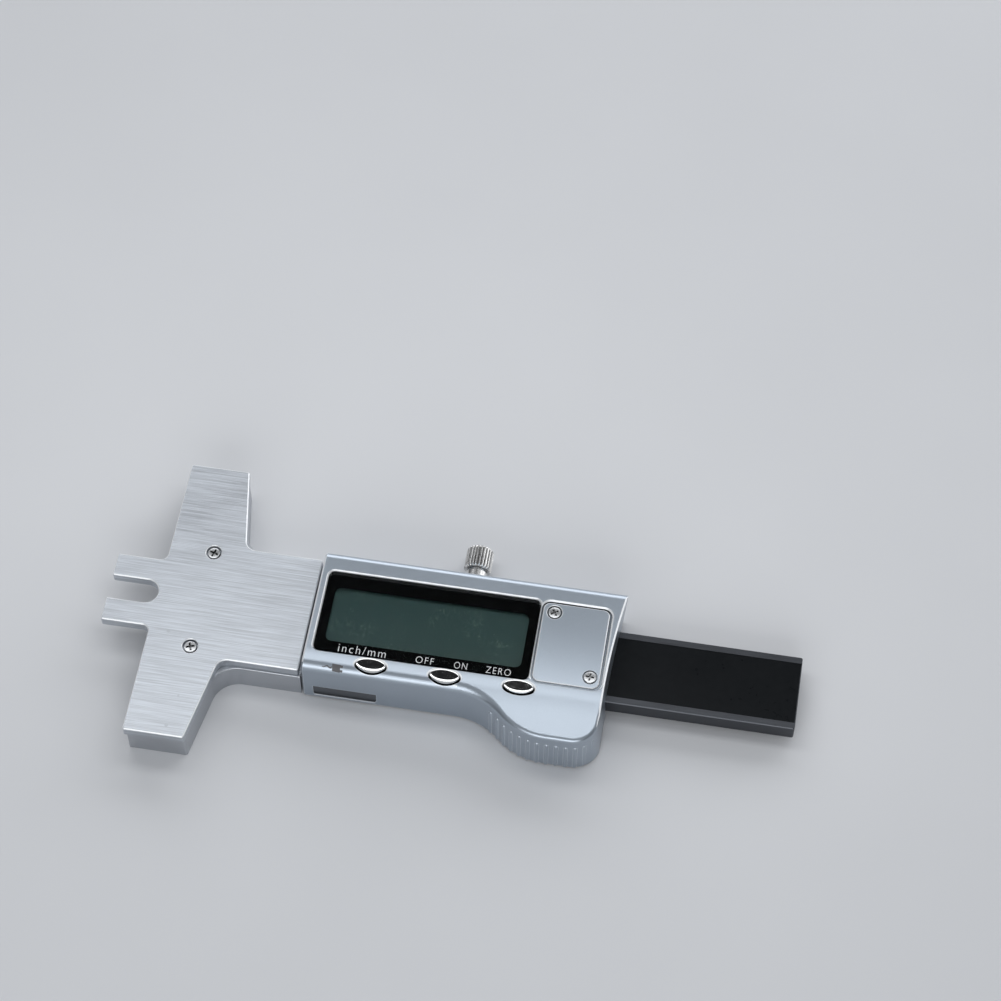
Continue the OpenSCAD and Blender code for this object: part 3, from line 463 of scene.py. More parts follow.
def rest_on(piece, node, finish):
    """A trim piece that rides with a node and leaves it in view."""
    piece.data.materials.clear()
    piece.data.materials.append(finish)
    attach(piece, body_of_node[node])


def stand_for(piece, node, finish):
    """A piece that rides with a node of the model and takes its place."""
    rest_on(piece, node, finish)
    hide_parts(node)
    print(piece.name, "has", len(piece.data.polygons), "faces")


STEEPEST, FLATTEST = 0.6, 0.82


def slanted(x, y, z, normal):
    """Whether a face looks up at about 45 degrees, as a bevel does."""
    return STEEPEST < normal.z < FLATTEST


def paint_highlight(piece, chosen=slanted, finish=None):
    """Gives the faces chosen by centre and normal a second finish, by default the near-white painted
    highlight of the bevels.
    """
    piece.data.materials.append(finish or painted_bevel_highlight)
    count = 0
    for face in piece.data.polygons:
        centre = piece.matrix_world @ face.center / MM
        if chosen(centre.x - FACE_X, centre.y, centre.z, face.normal):
            face.material_index = 1
            count += 1
    print(piece.name, "has", count, "polished faces")


# %% [markdown]
# ## Metal finishes
# Brushed steel is a mirror that fine scratches have blurred along one direction. Long thin noise, high
# across the scratches and low along them, drives three things at once: the roughness, a slight change
# of tone and a small bump. Steel that was milled, ground or turned differs only in the size and
# direction of the marks, so one function makes them all.

# %% Helpers for every finish
EDGE_GAIN = 20.0


def finish_of(name):
    material = bpy.data.materials.new(name)
    return material, Graph(material)


def tinted(colour, factor):
    """A colour made lighter or darker by a factor."""
    return (*[min(1.0, v * factor) for v in colour[:3]], 1.0)


def surface(g, colour, roughness, metallic, height=None, relief=0.01, constants=None):
    """Principled surface with an optional bump, wired to the material's output."""
    inputs = {"Base Color": colour, "Roughness": roughness, "Metallic": metallic, **(constants or {})}
    if height is not None:
        bump = {"Height": height, "Distance": relief * MM, "Strength": 1.0}
        inputs["Normal"] = g.node("ShaderNodeBump", None, bump)
    shader = g.node("ShaderNodeBsdfPrincipled", None, inputs)
    g.node("ShaderNodeOutputMaterial", None, {"Surface": shader})


def near_edges(g, radius):
    """1 on edges, falling to 0 at about the radius in millimetres."""
    rounded_normal = g.node("ShaderNodeBevel", {"samples": 6}, {"Radius": radius * MM})
    true_normal = g.node("ShaderNodeNewGeometry", output=1)
    return ((1.0 - g.dot(rounded_normal, true_normal)) * EDGE_GAIN).held()


def openness(g, distance, start, stop):
    """1 in the open and 0 in places much narrower than the distance in millimetres."""
    seen = g.node("ShaderNodeAmbientOcclusion", {"samples": 8}, {"Distance": distance * MM}, output=1)
    return seen.ramp(start, stop)


print("finishes can be made")

# %% Steel in all its finishes
FINE_SHARE, BROAD_SHARE, BROADER = 0.88, 0.12, 0.35
DARKER, LIGHTER, DIRT_AND_SHADE = 0.82, 1.12, 0.12
PIT_SIZE = 0.07


def steel(name, tone, marks, roughness, depth=0.004, contrast=0.12, pits=0.0, dirt_and_shade=0.0):
    """Machined metal. marks are the ripples in a millimetre along each axis, pits the small pits in a
    millimetre, and the last argument the width in millimetres of the narrow places that are painted dark,
    partly as dirt and partly as painted shade."""
    material, g = finish_of(name)
    fine = g.grain(marks, detail=3.0, roughness=0.6)
    broad = g.grain([m * BROADER for m in marks], detail=2.0)
    stain = g.grain(0.05, detail=2.0) - 0.5
    lines = fine * FINE_SHARE + broad * BROAD_SHARE
    blend = ((lines - 0.5) * contrast * 2.0 + stain * 0.05) * 3.0 + 0.5
    if pits:
        blend = blend - g.spots(pits, PIT_SIZE) * 1.2
    colour = g.mix(blend.held(), tinted(tone, DARKER), tinted(tone, LIGHTER))
    # Narrow places are painted a dark tone: partly dirt and partly painted shade where shade falls.
    if dirt_and_shade:
        colour = g.mix(openness(g, dirt_and_shade, 0.35, 0.95), tinted(tone, DIRT_AND_SHADE), colour)
    surface(g, colour, roughness + (lines - 0.5) * 0.25 + stain * 0.08, 1.0, lines, depth)
    return material


plate_steel = steel("brushed_plate", (0.56, 0.59, 0.63), (0.1, 5.5, 5.5), 0.42, depth=0.03, contrast=0.65,
                    pits=0.15)
frame_steel = steel("milled_frame", (0.52, 0.54, 0.57), (0.3, 3.0, 3.0), 0.42)
# The beam's near-black tone is a painted reflection: ground steel is light, and this tone stands for the dark
# surroundings that it mirrors.
beam_painted_dark = steel("ground_beam", (0.085, 0.09, 0.10), (0.15, 5.0, 5.0), 0.36, contrast=0.2)
# The screws, the knob and the button chrome get painted shade in their narrow places, on top of some dirt.
screw_steel = steel("plated_screw", (0.62, 0.63, 0.64), (2.0, 2.0, 2.0), 0.28, depth=0.002, dirt_and_shade=0.5)
knob_steel = steel("turned_knob", (0.74, 0.735, 0.725), (3.0, 0.5, 3.0), 0.24, dirt_and_shade=0.35)
dark_steel = steel("blackened_steel", (0.10, 0.11, 0.12), (3.0, 3.0, 3.0), 0.45)
spring_steel = steel("spring_steel", (0.60, 0.60, 0.58), (2.0, 2.0, 2.0), 0.25)
brass = steel("rolled_brass", (0.72, 0.52, 0.22), (0.4, 3.0, 3.0), 0.35)
bronze = steel("spring_bronze", (0.70, 0.46, 0.22), (1.0, 3.0, 3.0), 0.32)
gold = steel("gold_pads", (0.83, 0.62, 0.20), (3.0, 3.0, 3.0), 0.28)
cell_steel = steel("cell_can", (0.66, 0.67, 0.69), (2.0, 2.0, 2.0), 0.2)
chrome = steel("button_chrome", (0.80, 0.80, 0.79), (1.0, 1.0, 1.0), 0.06, depth=0.0003, contrast=0.03,
               dirt_and_shade=0.4)
print("metals:", [m.name for m in bpy.data.materials])

# %% [markdown]
# ## Plastic, print and glass
# The housing is moulded plastic under a silver coat with fine metal flakes, so it is partly metallic
# with a fine grain. Its edges are painted a brighter tone, partly as wear and partly as a painted highlight,
# and its narrow grooves are painted near-black as painted shade. The bevel node tells how far a point is
# from an edge, because it rounds the normal only near one.

# %% Silver coat
silver, g = finish_of("silver_coat")
flakes = g.grain(9.0, detail=1.0)
cloud = g.grain(0.06, detail=2.0)
edge_wear_and_highlight = near_edges(g, 0.25)
base = g.mix(cloud, linear(155, 165, 176), linear(167, 177, 188))
base = g.mix(((flakes - 0.5) * 0.5 + 0.25).held(), base, linear(198, 207, 216))
# Edges are painted a lighter tone: partly wear and partly a painted highlight.
base = g.mix(edge_wear_and_highlight * 0.5, base, linear(236, 241, 246))
# Narrow places, such as the groove round the battery cover, are painted near-black: painted shade.
base = g.mix(openness(g, 0.8, 0.25, 0.75), linear(22, 24, 27), base)
surface(g, base, 0.33 + (flakes - 0.5) * 0.12, 0.88 - edge_wear_and_highlight * 0.4, flakes * 0.7 + cloud * 0.3, 0.0015,
        {"Coat Weight": 0.2, "Coat Roughness": 0.1})

# A near-white finish for bevel faces: a painted highlight, standing for the bright lines that lit bevels
# show.
painted_bevel_highlight, g = finish_of("polished_bevel")
ripple = g.grain(1.2, detail=2.0)
base = g.mix(ripple, linear(244, 247, 250), linear(253, 254, 255))
surface(g, base, 0.32 + ripple * 0.1, 0.35, ripple, 0.001)

# %% Other coats, prints and glass
def coat(name, colour, roughness, relief=0.002, shine=None, variation=0.12, per_mm=1.5):
    """Plain moulded or printed surface with a fine grain. shine is its specular level if not the usual."""
    material, g = finish_of(name)
    grain = g.grain(per_mm, detail=3.0)
    cloud = g.grain(0.08, detail=2.0)
    tone = g.mix(grain * 0.5 + cloud * 0.5, tinted(colour, 1 - variation), tinted(colour, 1 + variation))
    constants = None if shine is None else {"Specular IOR Level": shine}
    surface(g, tone, roughness + (grain - 0.5) * 0.1 + (cloud - 0.5) * 0.08, 0.0, grain, relief, constants)
    return material


port_plastic = coat("port_plastic", linear(74, 77, 82), 0.5)
# The lip is painted a much lighter grey than the cover: a painted highlight along the lit lip.
port_lip = coat("port_lip", linear(176, 181, 188), 0.35)
scale_film = coat("scale_film", linear(14, 17, 20), 0.3, relief=0.001, per_mm=0.8, shine=0.15)
mask_print = coat("mask_print", linear(8, 9, 10), 0.35, relief=0.0005, shine=0.0)
rubber = coat("contact_rubber", linear(205, 190, 196), 0.7)
board = coat("board_lacquer", linear(28, 98, 62), 0.35)
resin = coat("chip_resin", linear(18, 18, 20), 0.3)
film = coat("amber_film", linear(205, 128, 40), 0.3)
white_print = coat("white_print", linear(232, 234, 236), 0.5, relief=0.0005, variation=0.04)
grey_print = coat("grey_print", linear(96, 95, 97), 0.5, relief=0.0005)

lcd_glass, g = finish_of("display_cell")
haze = g.grain((0.03, 0.09, 0.03), detail=1.0)
base = g.mix(haze, linear(56, 86, 86), linear(64, 88, 82))
hair = g.grain((0.9, 0.5, 0.6), detail=2.0)
worn = g.grain((0.09, 0.14, 0.09), detail=1.0).ramp(0.45, 0.6)
scratch = (hair.ramp(0.47, 0.5) - hair.ramp(0.5, 0.53)) * worn
base = g.mix((g.spots(0.9, 0.1) * 0.6 + scratch * 0.2).held(), base, linear(165, 190, 182))
surface(g, base, 0.32 + haze * 0.06, 0.0)

lens, g = finish_of("clear_lens")
smudge = g.grain(0.15, detail=3.0)
gloss = g.node("ShaderNodeBsdfPrincipled", None, {
    "Base Color": (0.9, 0.95, 0.95, 1), "Roughness": 0.03 + smudge * 0.05, "IOR": 1.49,
    "Transmission Weight": 1.0})
g.node("ShaderNodeOutputMaterial", None, {"Surface": gloss})
print("materials:", len(bpy.data.materials))

# %% Finish of the pieces that keep the model's own shape
finishes = {
    "beam": beam_painted_dark, "scale_strip": scale_film, "gib_strip": brass, "gib_screws": dark_steel,
    "stop_pin": dark_steel, "lock_pad": brass, "lcd_panel": lcd_glass, "zebra_strips": rubber,
    "circuit_board": board, "chip_cover": resin, "board_screws": screw_steel,
    "switch_domes": spring_steel, "port_contacts": gold, "battery_cell": cell_steel,
    "battery_spring": bronze, "battery_strip": bronze, "insulating_film": film,
}
for node, finish in finishes.items():
    for slot in frame["nodes"][node].material_slots:
        slot.material = finish
print(len(finishes), "nodes keep the model's own shape")

# %% [markdown]
# ## Fork plate
# The plate is cut from sheet steel: two wings that lie across the fretboard, a neck, and a fork whose
# slot goes over the string. A fine bevel runs round its top edge, and two screw heads lie in bores.

# %% Fork plate
NECK_WIDTH, NECK_FILLET = 25.34, 2.2
WING_DEPTH, WING_SLANT = 11.85, math.tan(math.radians(10))
FORK_WIDTH, FORK_FILLET, SLOT_WIDTH, TIP_R = 15.15, 1.5, 5.25, 0.35
PLATE_BEVEL, PLATE_FOOT_BEVEL, SHARP, PLATE_STEPS = 0.2, 0.1, 0.4, 14
HEAD_RADIUS = 1.25
BORE_R, BORE_DEPTH, BORE_BEVEL, SHANK_HOLE_R = HEAD_RADIUS + 0.3, 1.05, 0.12, 0.9
past = 1.0

plate_end = plate_high.x
wing_y, neck_y, fork_y, slot_y = plate_high.y, NECK_WIDTH / 2, FORK_WIDTH / 2, SLOT_WIDTH / 2
wing_root = WING_DEPTH + (wing_y - neck_y) * WING_SLANT


def both_sides(far_side):
    """An outline from its far side, which the near side mirrors."""
    return far_side + [(x, -y, r) for x, y, r in reversed(far_side)]


outline = both_sides([
    (plate_end, neck_y, SHARP), (wing_root, neck_y, NECK_FILLET), (WING_DEPTH, wing_y, SHARP),
    (0, wing_y, SHARP), (0, fork_y, FORK_FILLET), (-PRONG_LENGTH, fork_y, SHARP),
    (-PRONG_LENGTH, slot_y, TIP_R), (0, slot_y, slot_y - 0.01)])
plate = solid("plate", slab(outline, plate_low.z, plate_high.z, PLATE_BEVEL, PLATE_FOOT_BEVEL, PLATE_STEPS))

screw_low, screw_high = span("plate_screws")
plate_screw_x = (screw_low.x + screw_high.x) / 2
plate_screw_y = screw_high.y - HEAD_RADIUS
plate_screw_places = [(plate_screw_x, -plate_screw_y), (plate_screw_x, plate_screw_y)]
top, floor_of_bore = plate_high.z, plate_high.z - BORE_DEPTH
drill(plate, [(SHANK_HOLE_R, plate_low.z - past), (SHANK_HOLE_R, floor_of_bore), (BORE_R, floor_of_bore),
              (BORE_R, top - BORE_BEVEL), (BORE_R + 0.32, top + 0.2)], plate_screw_places, 48)
soften(plate)
stand_for(plate, "fork_plate", plate_steel)
# The plate's bevel faces take the near-white painted highlight.
paint_highlight(plate)

# %% [markdown]
# ## Slider frame
# Under the plate lies the milled frame that guides the beam. Only thin edges of it show from above:
# a crescent in each inner corner of the plate and a line along the neck.

# %% Slider frame
NECK_END, NECK_HALF, FRAME_FILLET = 30.925, 12.95, 5.25
RUN_GAP, BEAM_HALF, FRAME_BEVEL, WIDE = 0.05, 8, 0.08, 20
FRAME_WING = WING_DEPTH - 0.1

frame_low, frame_high = span("slider_frame")
gib_low, gib_high = span("gib_strip")
beam_low, beam_high = span("beam")
board_low, board_high = span("circuit_board")
rail_half = board_high.y + 0.1
rail_top = board_low.z
frame_back = beam_low.z - RUN_GAP
channel_y = BEAM_HALF + RUN_GAP
outline = both_sides([
    (frame_high.x, rail_half, 0.1), (NECK_END, rail_half, 0.1), (NECK_END, NECK_HALF, 0.1),
    (FRAME_WING + (wing_y - NECK_HALF) * WING_SLANT, NECK_HALF, FRAME_FILLET),
    (FRAME_WING + (wing_y - frame_high.y) * WING_SLANT, frame_high.y, 0.5), (frame_low.x, frame_high.y, 0.3)])
guide = solid("guide", slab(outline, 0, frame_high.z, FRAME_BEVEL, FRAME_BEVEL, PLATE_STEPS))
combine(guide, "DIFFERENCE",
        box(NECK_END, frame_high.x + past, -WIDE, WIDE, rail_top, frame_high.z + past),
        box(-past, frame_high.x + past, -channel_y, channel_y, frame_back, frame_high.z + past),
        box(gib_low.x - RUN_GAP, gib_high.x + RUN_GAP, 0, gib_high.y + RUN_GAP, frame_back, rail_top + past))
print("frame from", frame_low, "to", frame_high)

# %% [markdown]
# ## Cross-head screws
# All small screws have the same head: a low dome with a cross recess whose arms taper in. The recess
# is cut as two crossed wedges, and the head's rim is turned slightly round.

# %% Screws
DOME, RIM_ROUND, FOOT_CHAMFER = 0.12, 0.06, 0.12
CROSS_LENGTH, CROSS_WIDTH, CROSS_DEPTH = 1.42, 0.3, 0.62
FIRST_TURN, NEXT_TURN = 0.35, 0.9


def screw_head(height, centre):
    """Head with its top at the centre, as a turned shape."""
    r = HEAD_RADIUS
    rim = [(r - FOOT_CHAMFER, -height), (r, -height + 0.1), (r, -DOME - RIM_ROUND), (r - RIM_ROUND, -DOME)]
    dome = [(r * math.cos(a), -DOME * (1 - math.sin(a))) for a in degrees(20, 40, 60, 78)]
    return turned(rim + dome, centre, steps=48)


def wedge(centre, angle, depth):
    """One arm pair of a cross recess, narrower at its floor."""
    cx, cy, cz = centre
    cosine, sine = math.cos(angle), math.sin(angle)
    rings = []
    for z, scale in ((-depth, 0.75), (0.3, 1.12)):
        u, v = (HEAD_RADIUS * size / 2 * scale for size in (CROSS_LENGTH, CROSS_WIDTH))
        corners = ((-u, -v), (u, -v), (u, v), (-u, v))
        rings.append([(cx + x * cosine - y * sine, cy + x * sine + y * cosine, cz + z) for x, y in corners])
    return loft(rings)


def screws(name, node, places, head_top, head_height, shank_radius, foot, turn=FIRST_TURN, down=False):
    """Screws at x, y places with their heads up at head_top and tips at foot, or all of it upside down."""
    group = solid(name, *[screw_head(head_height, (x, y, head_top)) for x, y in places])
    depth = min(CROSS_DEPTH, head_height - 0.06)
    for k, (x, y) in enumerate(places):
        for quarter in (0, math.pi / 2):
            combine(group, "DIFFERENCE", wedge((x, y, head_top), turn + NEXT_TURN * k + quarter, depth))
    shank_top = head_top - head_height + 0.05
    shank = [(shank_radius * 0.7, foot), (shank_radius, foot + 0.3), (shank_radius, shank_top)]
    combine(group, "UNION", *[turned(shank, (x, y, 0), steps=24) for x, y in places])
    if down:
        turn_over = Matrix.Translation((0, 0, (head_top + foot) * MM)) @ Matrix.Diagonal((1, 1, -1, 1))
        group.data.transform(turn_over)
        group.data.flip_normals()
    soften(group, 28)
    stand_for(group, node, screw_steel)


screws("fork_screws", "plate_screws", plate_screw_places, screw_high.z, 0.9, 0.8, screw_low.z)
cover_low, cover_high = span("cover_screws")
cover_screw_places = [(cover_low.x + HEAD_RADIUS, cover_high.y - HEAD_RADIUS),
                      (cover_high.x - HEAD_RADIUS, cover_low.y + HEAD_RADIUS)]
screws("lid_screws", "cover_screws", cover_screw_places, cover_high.z, 0.37, 0.6, cover_low.z, turn=0.6)

# %% [markdown]
# ## Housing
# The housing is the gauge's moulded shell. Its long edges are rounded, its roof falls slightly towards
# the buttons, the near wall swings out into a thumb rest with grip ribs, and the right end is hollow
# and leans out. The wall and the rounding up to the roof are one loft of rings, and everything else
# is cut out of it or joined to it.

# %% Path of the wall
WALL = 1.2
SIDE_Y, EDGE_R, THUMB_EDGE_R = 13.25, 1.75, 0.8
SWELL_START, SWELL, THUMB_REACH, CORNER_R = 29.7, 19.0, 7.35, 5.0
HOUSING_LENGTH, END_LEAN, END_CURVE = 58.4, 0.6, 150.0
CROWN_START = 9.0
CROWN_SLOPES = [(0, 0), (3.2, 9.0), (7.5, 4.5), (12, 3.5)]
CURVE_STEPS, EDGE_STEPS = 28, 12

left_x = shell_low.x
end_x = left_x + HOUSING_LENGTH
roof_z, foot_z = shell_high.z, shell_low.z
thumb_y = SIDE_Y + THUMB_REACH
swell_angle = 2 * math.atan(THUMB_REACH / SWELL)
swell_r = SWELL / (2 * math.sin(swell_angle))
swell_x, swell_end = left_x + SWELL_START, left_x + SWELL_START + SWELL
corner_x = end_x - CORNER_R
swell_length = swell_r * swell_angle
straight = corner_x - swell_end
wall_length = 2 * swell_length + straight + CORNER_R * math.pi / 2


def crown(y):
    """How far the roof lies below its highest level at y, from its slope in degrees at a few distances."""
    left, fall = max(0.0, -y - CROWN_START), 0.0
    for (d0, slope0), (d1, slope1) in zip(CROWN_SLOPES, CROWN_SLOPES[1:]):
        run = min(left, d1 - d0)
        slope_there = slope0 + (slope1 - slope0) * run / (d1 - d0)
        fall += run * math.tan(math.radians((slope0 + slope_there) / 2))
        left -= run
    return fall


def thumb_wall(s):
    """Point and outward direction of the thumb rest's wall at distance s along it."""
    if s < 2 * swell_length:
        leaving = s < swell_length
        a = (s if leaving else 2 * swell_length - s) / swell_r
        sine, cosine = math.sin(a), math.cos(a)
        along, across = swell_r * sine, swell_r * (1 - cosine)
        if leaving:
            return swell_x + along, -SIDE_Y - across, -sine, -cosine
        return swell_end - along, -thumb_y + across, -sine, -cosine
    if s < 2 * swell_length + straight:
        return swell_end + s - 2 * swell_length, -thumb_y, 0.0, -1.0
    a = (s - 2 * swell_length - straight) / CORNER_R
    sine, cosine = math.sin(a), math.cos(a)
    return corner_x + CORNER_R * sine, -thumb_y + CORNER_R * (1 - cosine), sine, -cosine


def wall_path():
    """Stations round the wall: x, y, direction x, y times edge radius, edge radius and lean of the foot."""
    out_left, out_right = left_x - 3, end_x + 3.3
    path = [(out_right, SIDE_Y, THUMB_EDGE_R, EDGE_R, EDGE_R, END_LEAN),
            (out_left, SIDE_Y, -EDGE_R, EDGE_R, EDGE_R, 0),
            (out_left, -SIDE_Y, -EDGE_R, -EDGE_R, EDGE_R, 0)]
    corner_start = 2 * swell_length + straight
    corner_length = wall_length - 2 * swell_length - straight
    stations = [swell_length * k / CURVE_STEPS for k in range(2 * CURVE_STEPS + 1)]
    stations += [corner_start + corner_length * k / CURVE_STEPS for k in range(CURVE_STEPS + 1)]
    for s in stations:
        x, y, nx, ny = thumb_wall(s)
        t = min(1.0, s / (2 * swell_length))
        r = EDGE_R + (THUMB_EDGE_R - EDGE_R) * t * t * (3 - 2 * t)
        path.append((x, y, nx * r, ny * r, r, max(0.0, nx) * END_LEAN))
    return path


print("thumb rest wall is", round(wall_length, 2), "mm long")

# %% Skin of the housing
def skin_ring(path, angle):
    """Ring of the rounded edge at an angle: 0 on the wall and 90 degrees on the roof."""
    into, down = 1 - math.cos(angle), 1 - math.sin(angle)
    return [(x - dx * into, y - dy * into, roof_z - r * down) for x, y, dx, dy, r, lean in path]


path = wall_path()
rings = [[(x + lean, y, foot_z) for x, y, dx, dy, r, lean in path]]
rings += [skin_ring(path, math.pi / 2 * k / EDGE_STEPS) for k in range(EDGE_STEPS + 1)]
shell = solid("shell", loft(rings))
print("skin has", len(shell.data.polygons), "faces")

# %% Bevelled ends of the housing
END_BEVEL, RIGHT_BEVEL, FLARE, DEEP = 0.32, 0.3, 70.0, -9
END_SHORT, HOLLOW_START, FOOT_SLANT = 0.05, 11, 0.025


def end_section(x, grow):
    """The housing's cross-section at its left end, grown outwards."""
    arc = [math.pi / 2 * k / EDGE_STEPS for k in range(EDGE_STEPS + 1)]
    middle, r = SIDE_Y - EDGE_R, EDGE_R + grow
    near = [(x, -middle - r * math.cos(a), roof_z - EDGE_R + r * math.sin(a)) for a in arc]
    far = [(x, -y, z) for x, y, z in reversed(near)]
    return [(x, near[0][1], DEEP), *near, *far, (x, far[-1][1], DEEP)]


def end_surface(y, z):
    """Where the hollow, leaning right end lies at y and z."""
    beyond = max(0.0, y + HOLLOW_START)
    top = end_x - END_SHORT + beyond ** 2 / (2 * END_CURVE)
    foot = end_x - END_SHORT + END_LEAN + FOOT_SLANT * beyond
    return foot + (top - foot) * (z - foot_z) / (roof_z - foot_z)


def end_trim():
    """Cutter for all that lies beyond the right end, with a bevel along the roof."""
    start, stop, outside = SIDE_Y + 1, thumb_y - CORNER_R + 1.9, end_x + 9
    ys = [start - k * (SIDE_Y + 12) / CURVE_STEPS for k in range(CURVE_STEPS + 1)] + [-stop]
    rings = []
    for z, step in ((-1, 0.0), (roof_z - RIGHT_BEVEL, 0.0), (roof_z, -RIGHT_BEVEL),
                    (roof_z + 2, -RIGHT_BEVEL - 2)):
        ring = [(end_surface(y, z) + step, y, z) for y in ys]
        rings.append(ring + [(outside, -stop, z), (outside, start, z)])
    return loft(rings)


left_cut = loft([end_section(left_x, -END_BEVEL), end_section(left_x + FLARE, FLARE - END_BEVEL)])
combine(shell, "INTERSECT", left_cut)
combine(shell, "DIFFERENCE", end_trim())
print("shell has", len(shell.data.polygons), "faces")

# %% Sagging roof
SAG_STRIP, SAG_DEPTH = 0.4, 2.3


def sag(piece, fall, start, stop, depth):
    """Lowers the top of a piece by fall(y), after slicing it so finely that the curve is smooth. Only what
    lies less than the depth below the roof moves."""
    work = bmesh.new()
    work.from_mesh(piece.data)
    y = start
    while y > stop:
        parts = work.verts[:] + work.edges[:] + work.faces[:]
        bmesh.ops.bisect_plane(work, geom=parts, dist=1e-7, plane_co=place(0, y, 0), plane_no=(0, 1, 0))
        y -= SAG_STRIP
    for v in work.verts:
        if v.co.z > (roof_z - depth) * MM:
            v.co.z -= fall(v.co.y / MM) * MM
    work.to_mesh(piece.data)
    work.free()


sag(shell, crown, -CROWN_START, -thumb_y, SAG_DEPTH)
print("the thumb rest lies", round(crown(-thumb_y), 2), "mm lower than the display")

# %% Grip ribs
RIBS, RIB_PITCH, LAST_RIB = 13, 1.86, 2.87
RIB_R, RIB_PROUD, RIB_DROP, RIB_FOOT = 0.45, 0.25, 3.0, 0.05


def rib(s):
    """Upright half-round rib with a round top, at distance s along the thumb rest."""
    x, y, nx, ny = thumb_wall(s)
    inside = RIB_R - RIB_PROUD
    top = roof_z - RIB_DROP - crown(y)
    dome = [(RIB_R * math.cos(a), top + RIB_R * math.sin(a)) for a in degrees(15, 30, 45, 60, 75)]
    profile = [(RIB_R, foot_z + RIB_FOOT), (RIB_R, top), *dome]
    return turned(profile, (x - nx * inside, y - ny * inside, 0), steps=20)


first_rib = wall_length - LAST_RIB - (RIBS - 1) * RIB_PITCH
combine(shell, "UNION", *[rib(first_rib + k * RIB_PITCH) for k in range(RIBS)])
print("ribs from", round(first_rib, 2), "to", round(wall_length - LAST_RIB, 2))

# %% Seats, holes and the hollow inside
WINDOW_R, WINDOW_BEVEL, LID_R, LID_BEVEL, GROOVE, LAY_GAP = 1.2, 0.38, 1.35, 0.3, 0.38, 0.03
LID_SHORT_X, LID_SHORT_Y = 0.2, 0.35
ROOF, LENS_LEDGE, CELL_GAP, CORNER_STEPS = 1.6, 0.9, 0.2, 12

lens_low, lens_high = span("display_lens")
lid_low, lid_high = span("battery_cover")
lid_high -= Vector((LID_SHORT_X, LID_SHORT_Y, 0))
cell_low, cell_high = span("battery_cell")
port_low, port_high = span("port_cover")
lock_low, lock_high = span("lock_screw")
film_top = span("insulating_film")[1].z
cavity_x, cavity_y = left_x + WALL, board_high.y + 0.15
block_x, block_end = lid_low.x + 0.1, frame_high.x + 0.1
under_roof = roof_z - ROOF
lock_x, lock_z = (lock_low.x + lock_high.x) / 2, (lock_low.z + lock_high.z) / 2
cell_hole_r = cell_high.x / 2 - cell_low.x / 2 + CELL_GAP
cell_middle = ((cell_low.x + cell_high.x) / 2, (cell_low.y + cell_high.y) / 2, 0)


def seat(low, high, gap, radius, depth, bevel):
    """Cutter for a rounded rectangular seat with a bevelled mouth."""
    corners = box_corners(low.x - gap, high.x + gap, low.y - gap, high.y + gap, radius)
    steps = ((0, depth), (0, roof_z - bevel), (bevel, roof_z), (bevel + 1, roof_z + 1))
    return loft([at_height(rounded(inset(corners, -grow) if grow else corners, CORNER_STEPS), z)
                 for grow, z in steps])


combine(shell, "DIFFERENCE",
        box(left_x - past, block_end, -cavity_y, cavity_y, -past, rail_top),
        box(cavity_x, block_x, -cavity_y, cavity_y, -past, under_roof),
        box(block_x - past, block_end, -cavity_y, cavity_y, -past, film_top),
        box(frame_high.x - past, end_x + 9, -channel_y - 0.1, channel_y + 0.1, -past, beam_high.z + 0.25),
        seat(lens_low, lens_high, LAY_GAP, WINDOW_R, lens_low.z - 0.1, WINDOW_BEVEL),
        box(lens_low.x + LENS_LEDGE, lens_high.x - LENS_LEDGE, lens_low.y + LENS_LEDGE,
            lens_high.y - LENS_LEDGE, under_roof - past, roof_z),
        seat(lid_low, lid_high, GROOVE, LID_R + GROOVE, lid_low.z, LID_BEVEL),
        turned([(cell_hole_r, film_top - past), (cell_hole_r, roof_z)], cell_middle),
        box(port_low.x - LAY_GAP, port_high.x + LAY_GAP, -SIDE_Y - 3, -cavity_y + past,
            port_low.z - LAY_GAP, port_high.z + LAY_GAP))
print("shell has", len(shell.data.polygons), "faces")

# %% [markdown]
# ## Display
# The lens is a clear plate with a black border printed on its back, and the border leaves a window with
# round corners over the display. The print is a thin frame that also turns up round the lens's edge.

# %% Black border of the display
BORDER_SIDE, BORDER_NEAR, BORDER_FAR, WINDOW_CORNER = 1.8, 2.55, 3.15, 1.3
PRINT_GAP, RIM, RIM_DROP, RIM_PLAY = 0.02, 0.06, 0.1, 0.01

mask_low, mask_high = span("lens_mask")


def footprint(gap):
    """Corners of the lens, moved inwards."""
    return inset(box_corners(lens_low.x, lens_high.x, lens_low.y, lens_high.y, WINDOW_R), gap)


rim_room = slab(footprint(RIM), mask_high.z - PRINT_GAP, lens_high.z + past, steps=CORNER_STEPS)
opening = slab(
    box_corners(mask_low.x + BORDER_SIDE, mask_high.x - BORDER_SIDE,
                mask_low.y + BORDER_NEAR, mask_high.y - BORDER_FAR, WINDOW_CORNER),
    mask_low.z - past, mask_high.z + past, steps=CORNER_STEPS)
mask = solid("mask", slab(footprint(0), mask_low.z, lens_high.z - RIM_DROP, steps=CORNER_STEPS))
combine(mask, "DIFFERENCE", rim_room, opening)
soften(mask)
stand_for(mask, "lens_mask", mask_print)

# %% Clear lens
window = solid("window", slab(footprint(RIM + RIM_PLAY), lens_low.z, lens_high.z, steps=CORNER_STEPS))
soften(window)
stand_for(window, "display_lens", lens)

# %% [markdown]
# ## Buttons
# The three buttons are oval caps with a bright chrome plate. Each is a stack of ovals: straight up from
# the foot, over a small round rim, up a shallow slope and on to a flat face. Chrome mirrors the room, so
# the level face stays dark while the slope shows a lamp as a bright band along the near side. The hole is
# a little wider, and its gap shows as a dark ring.

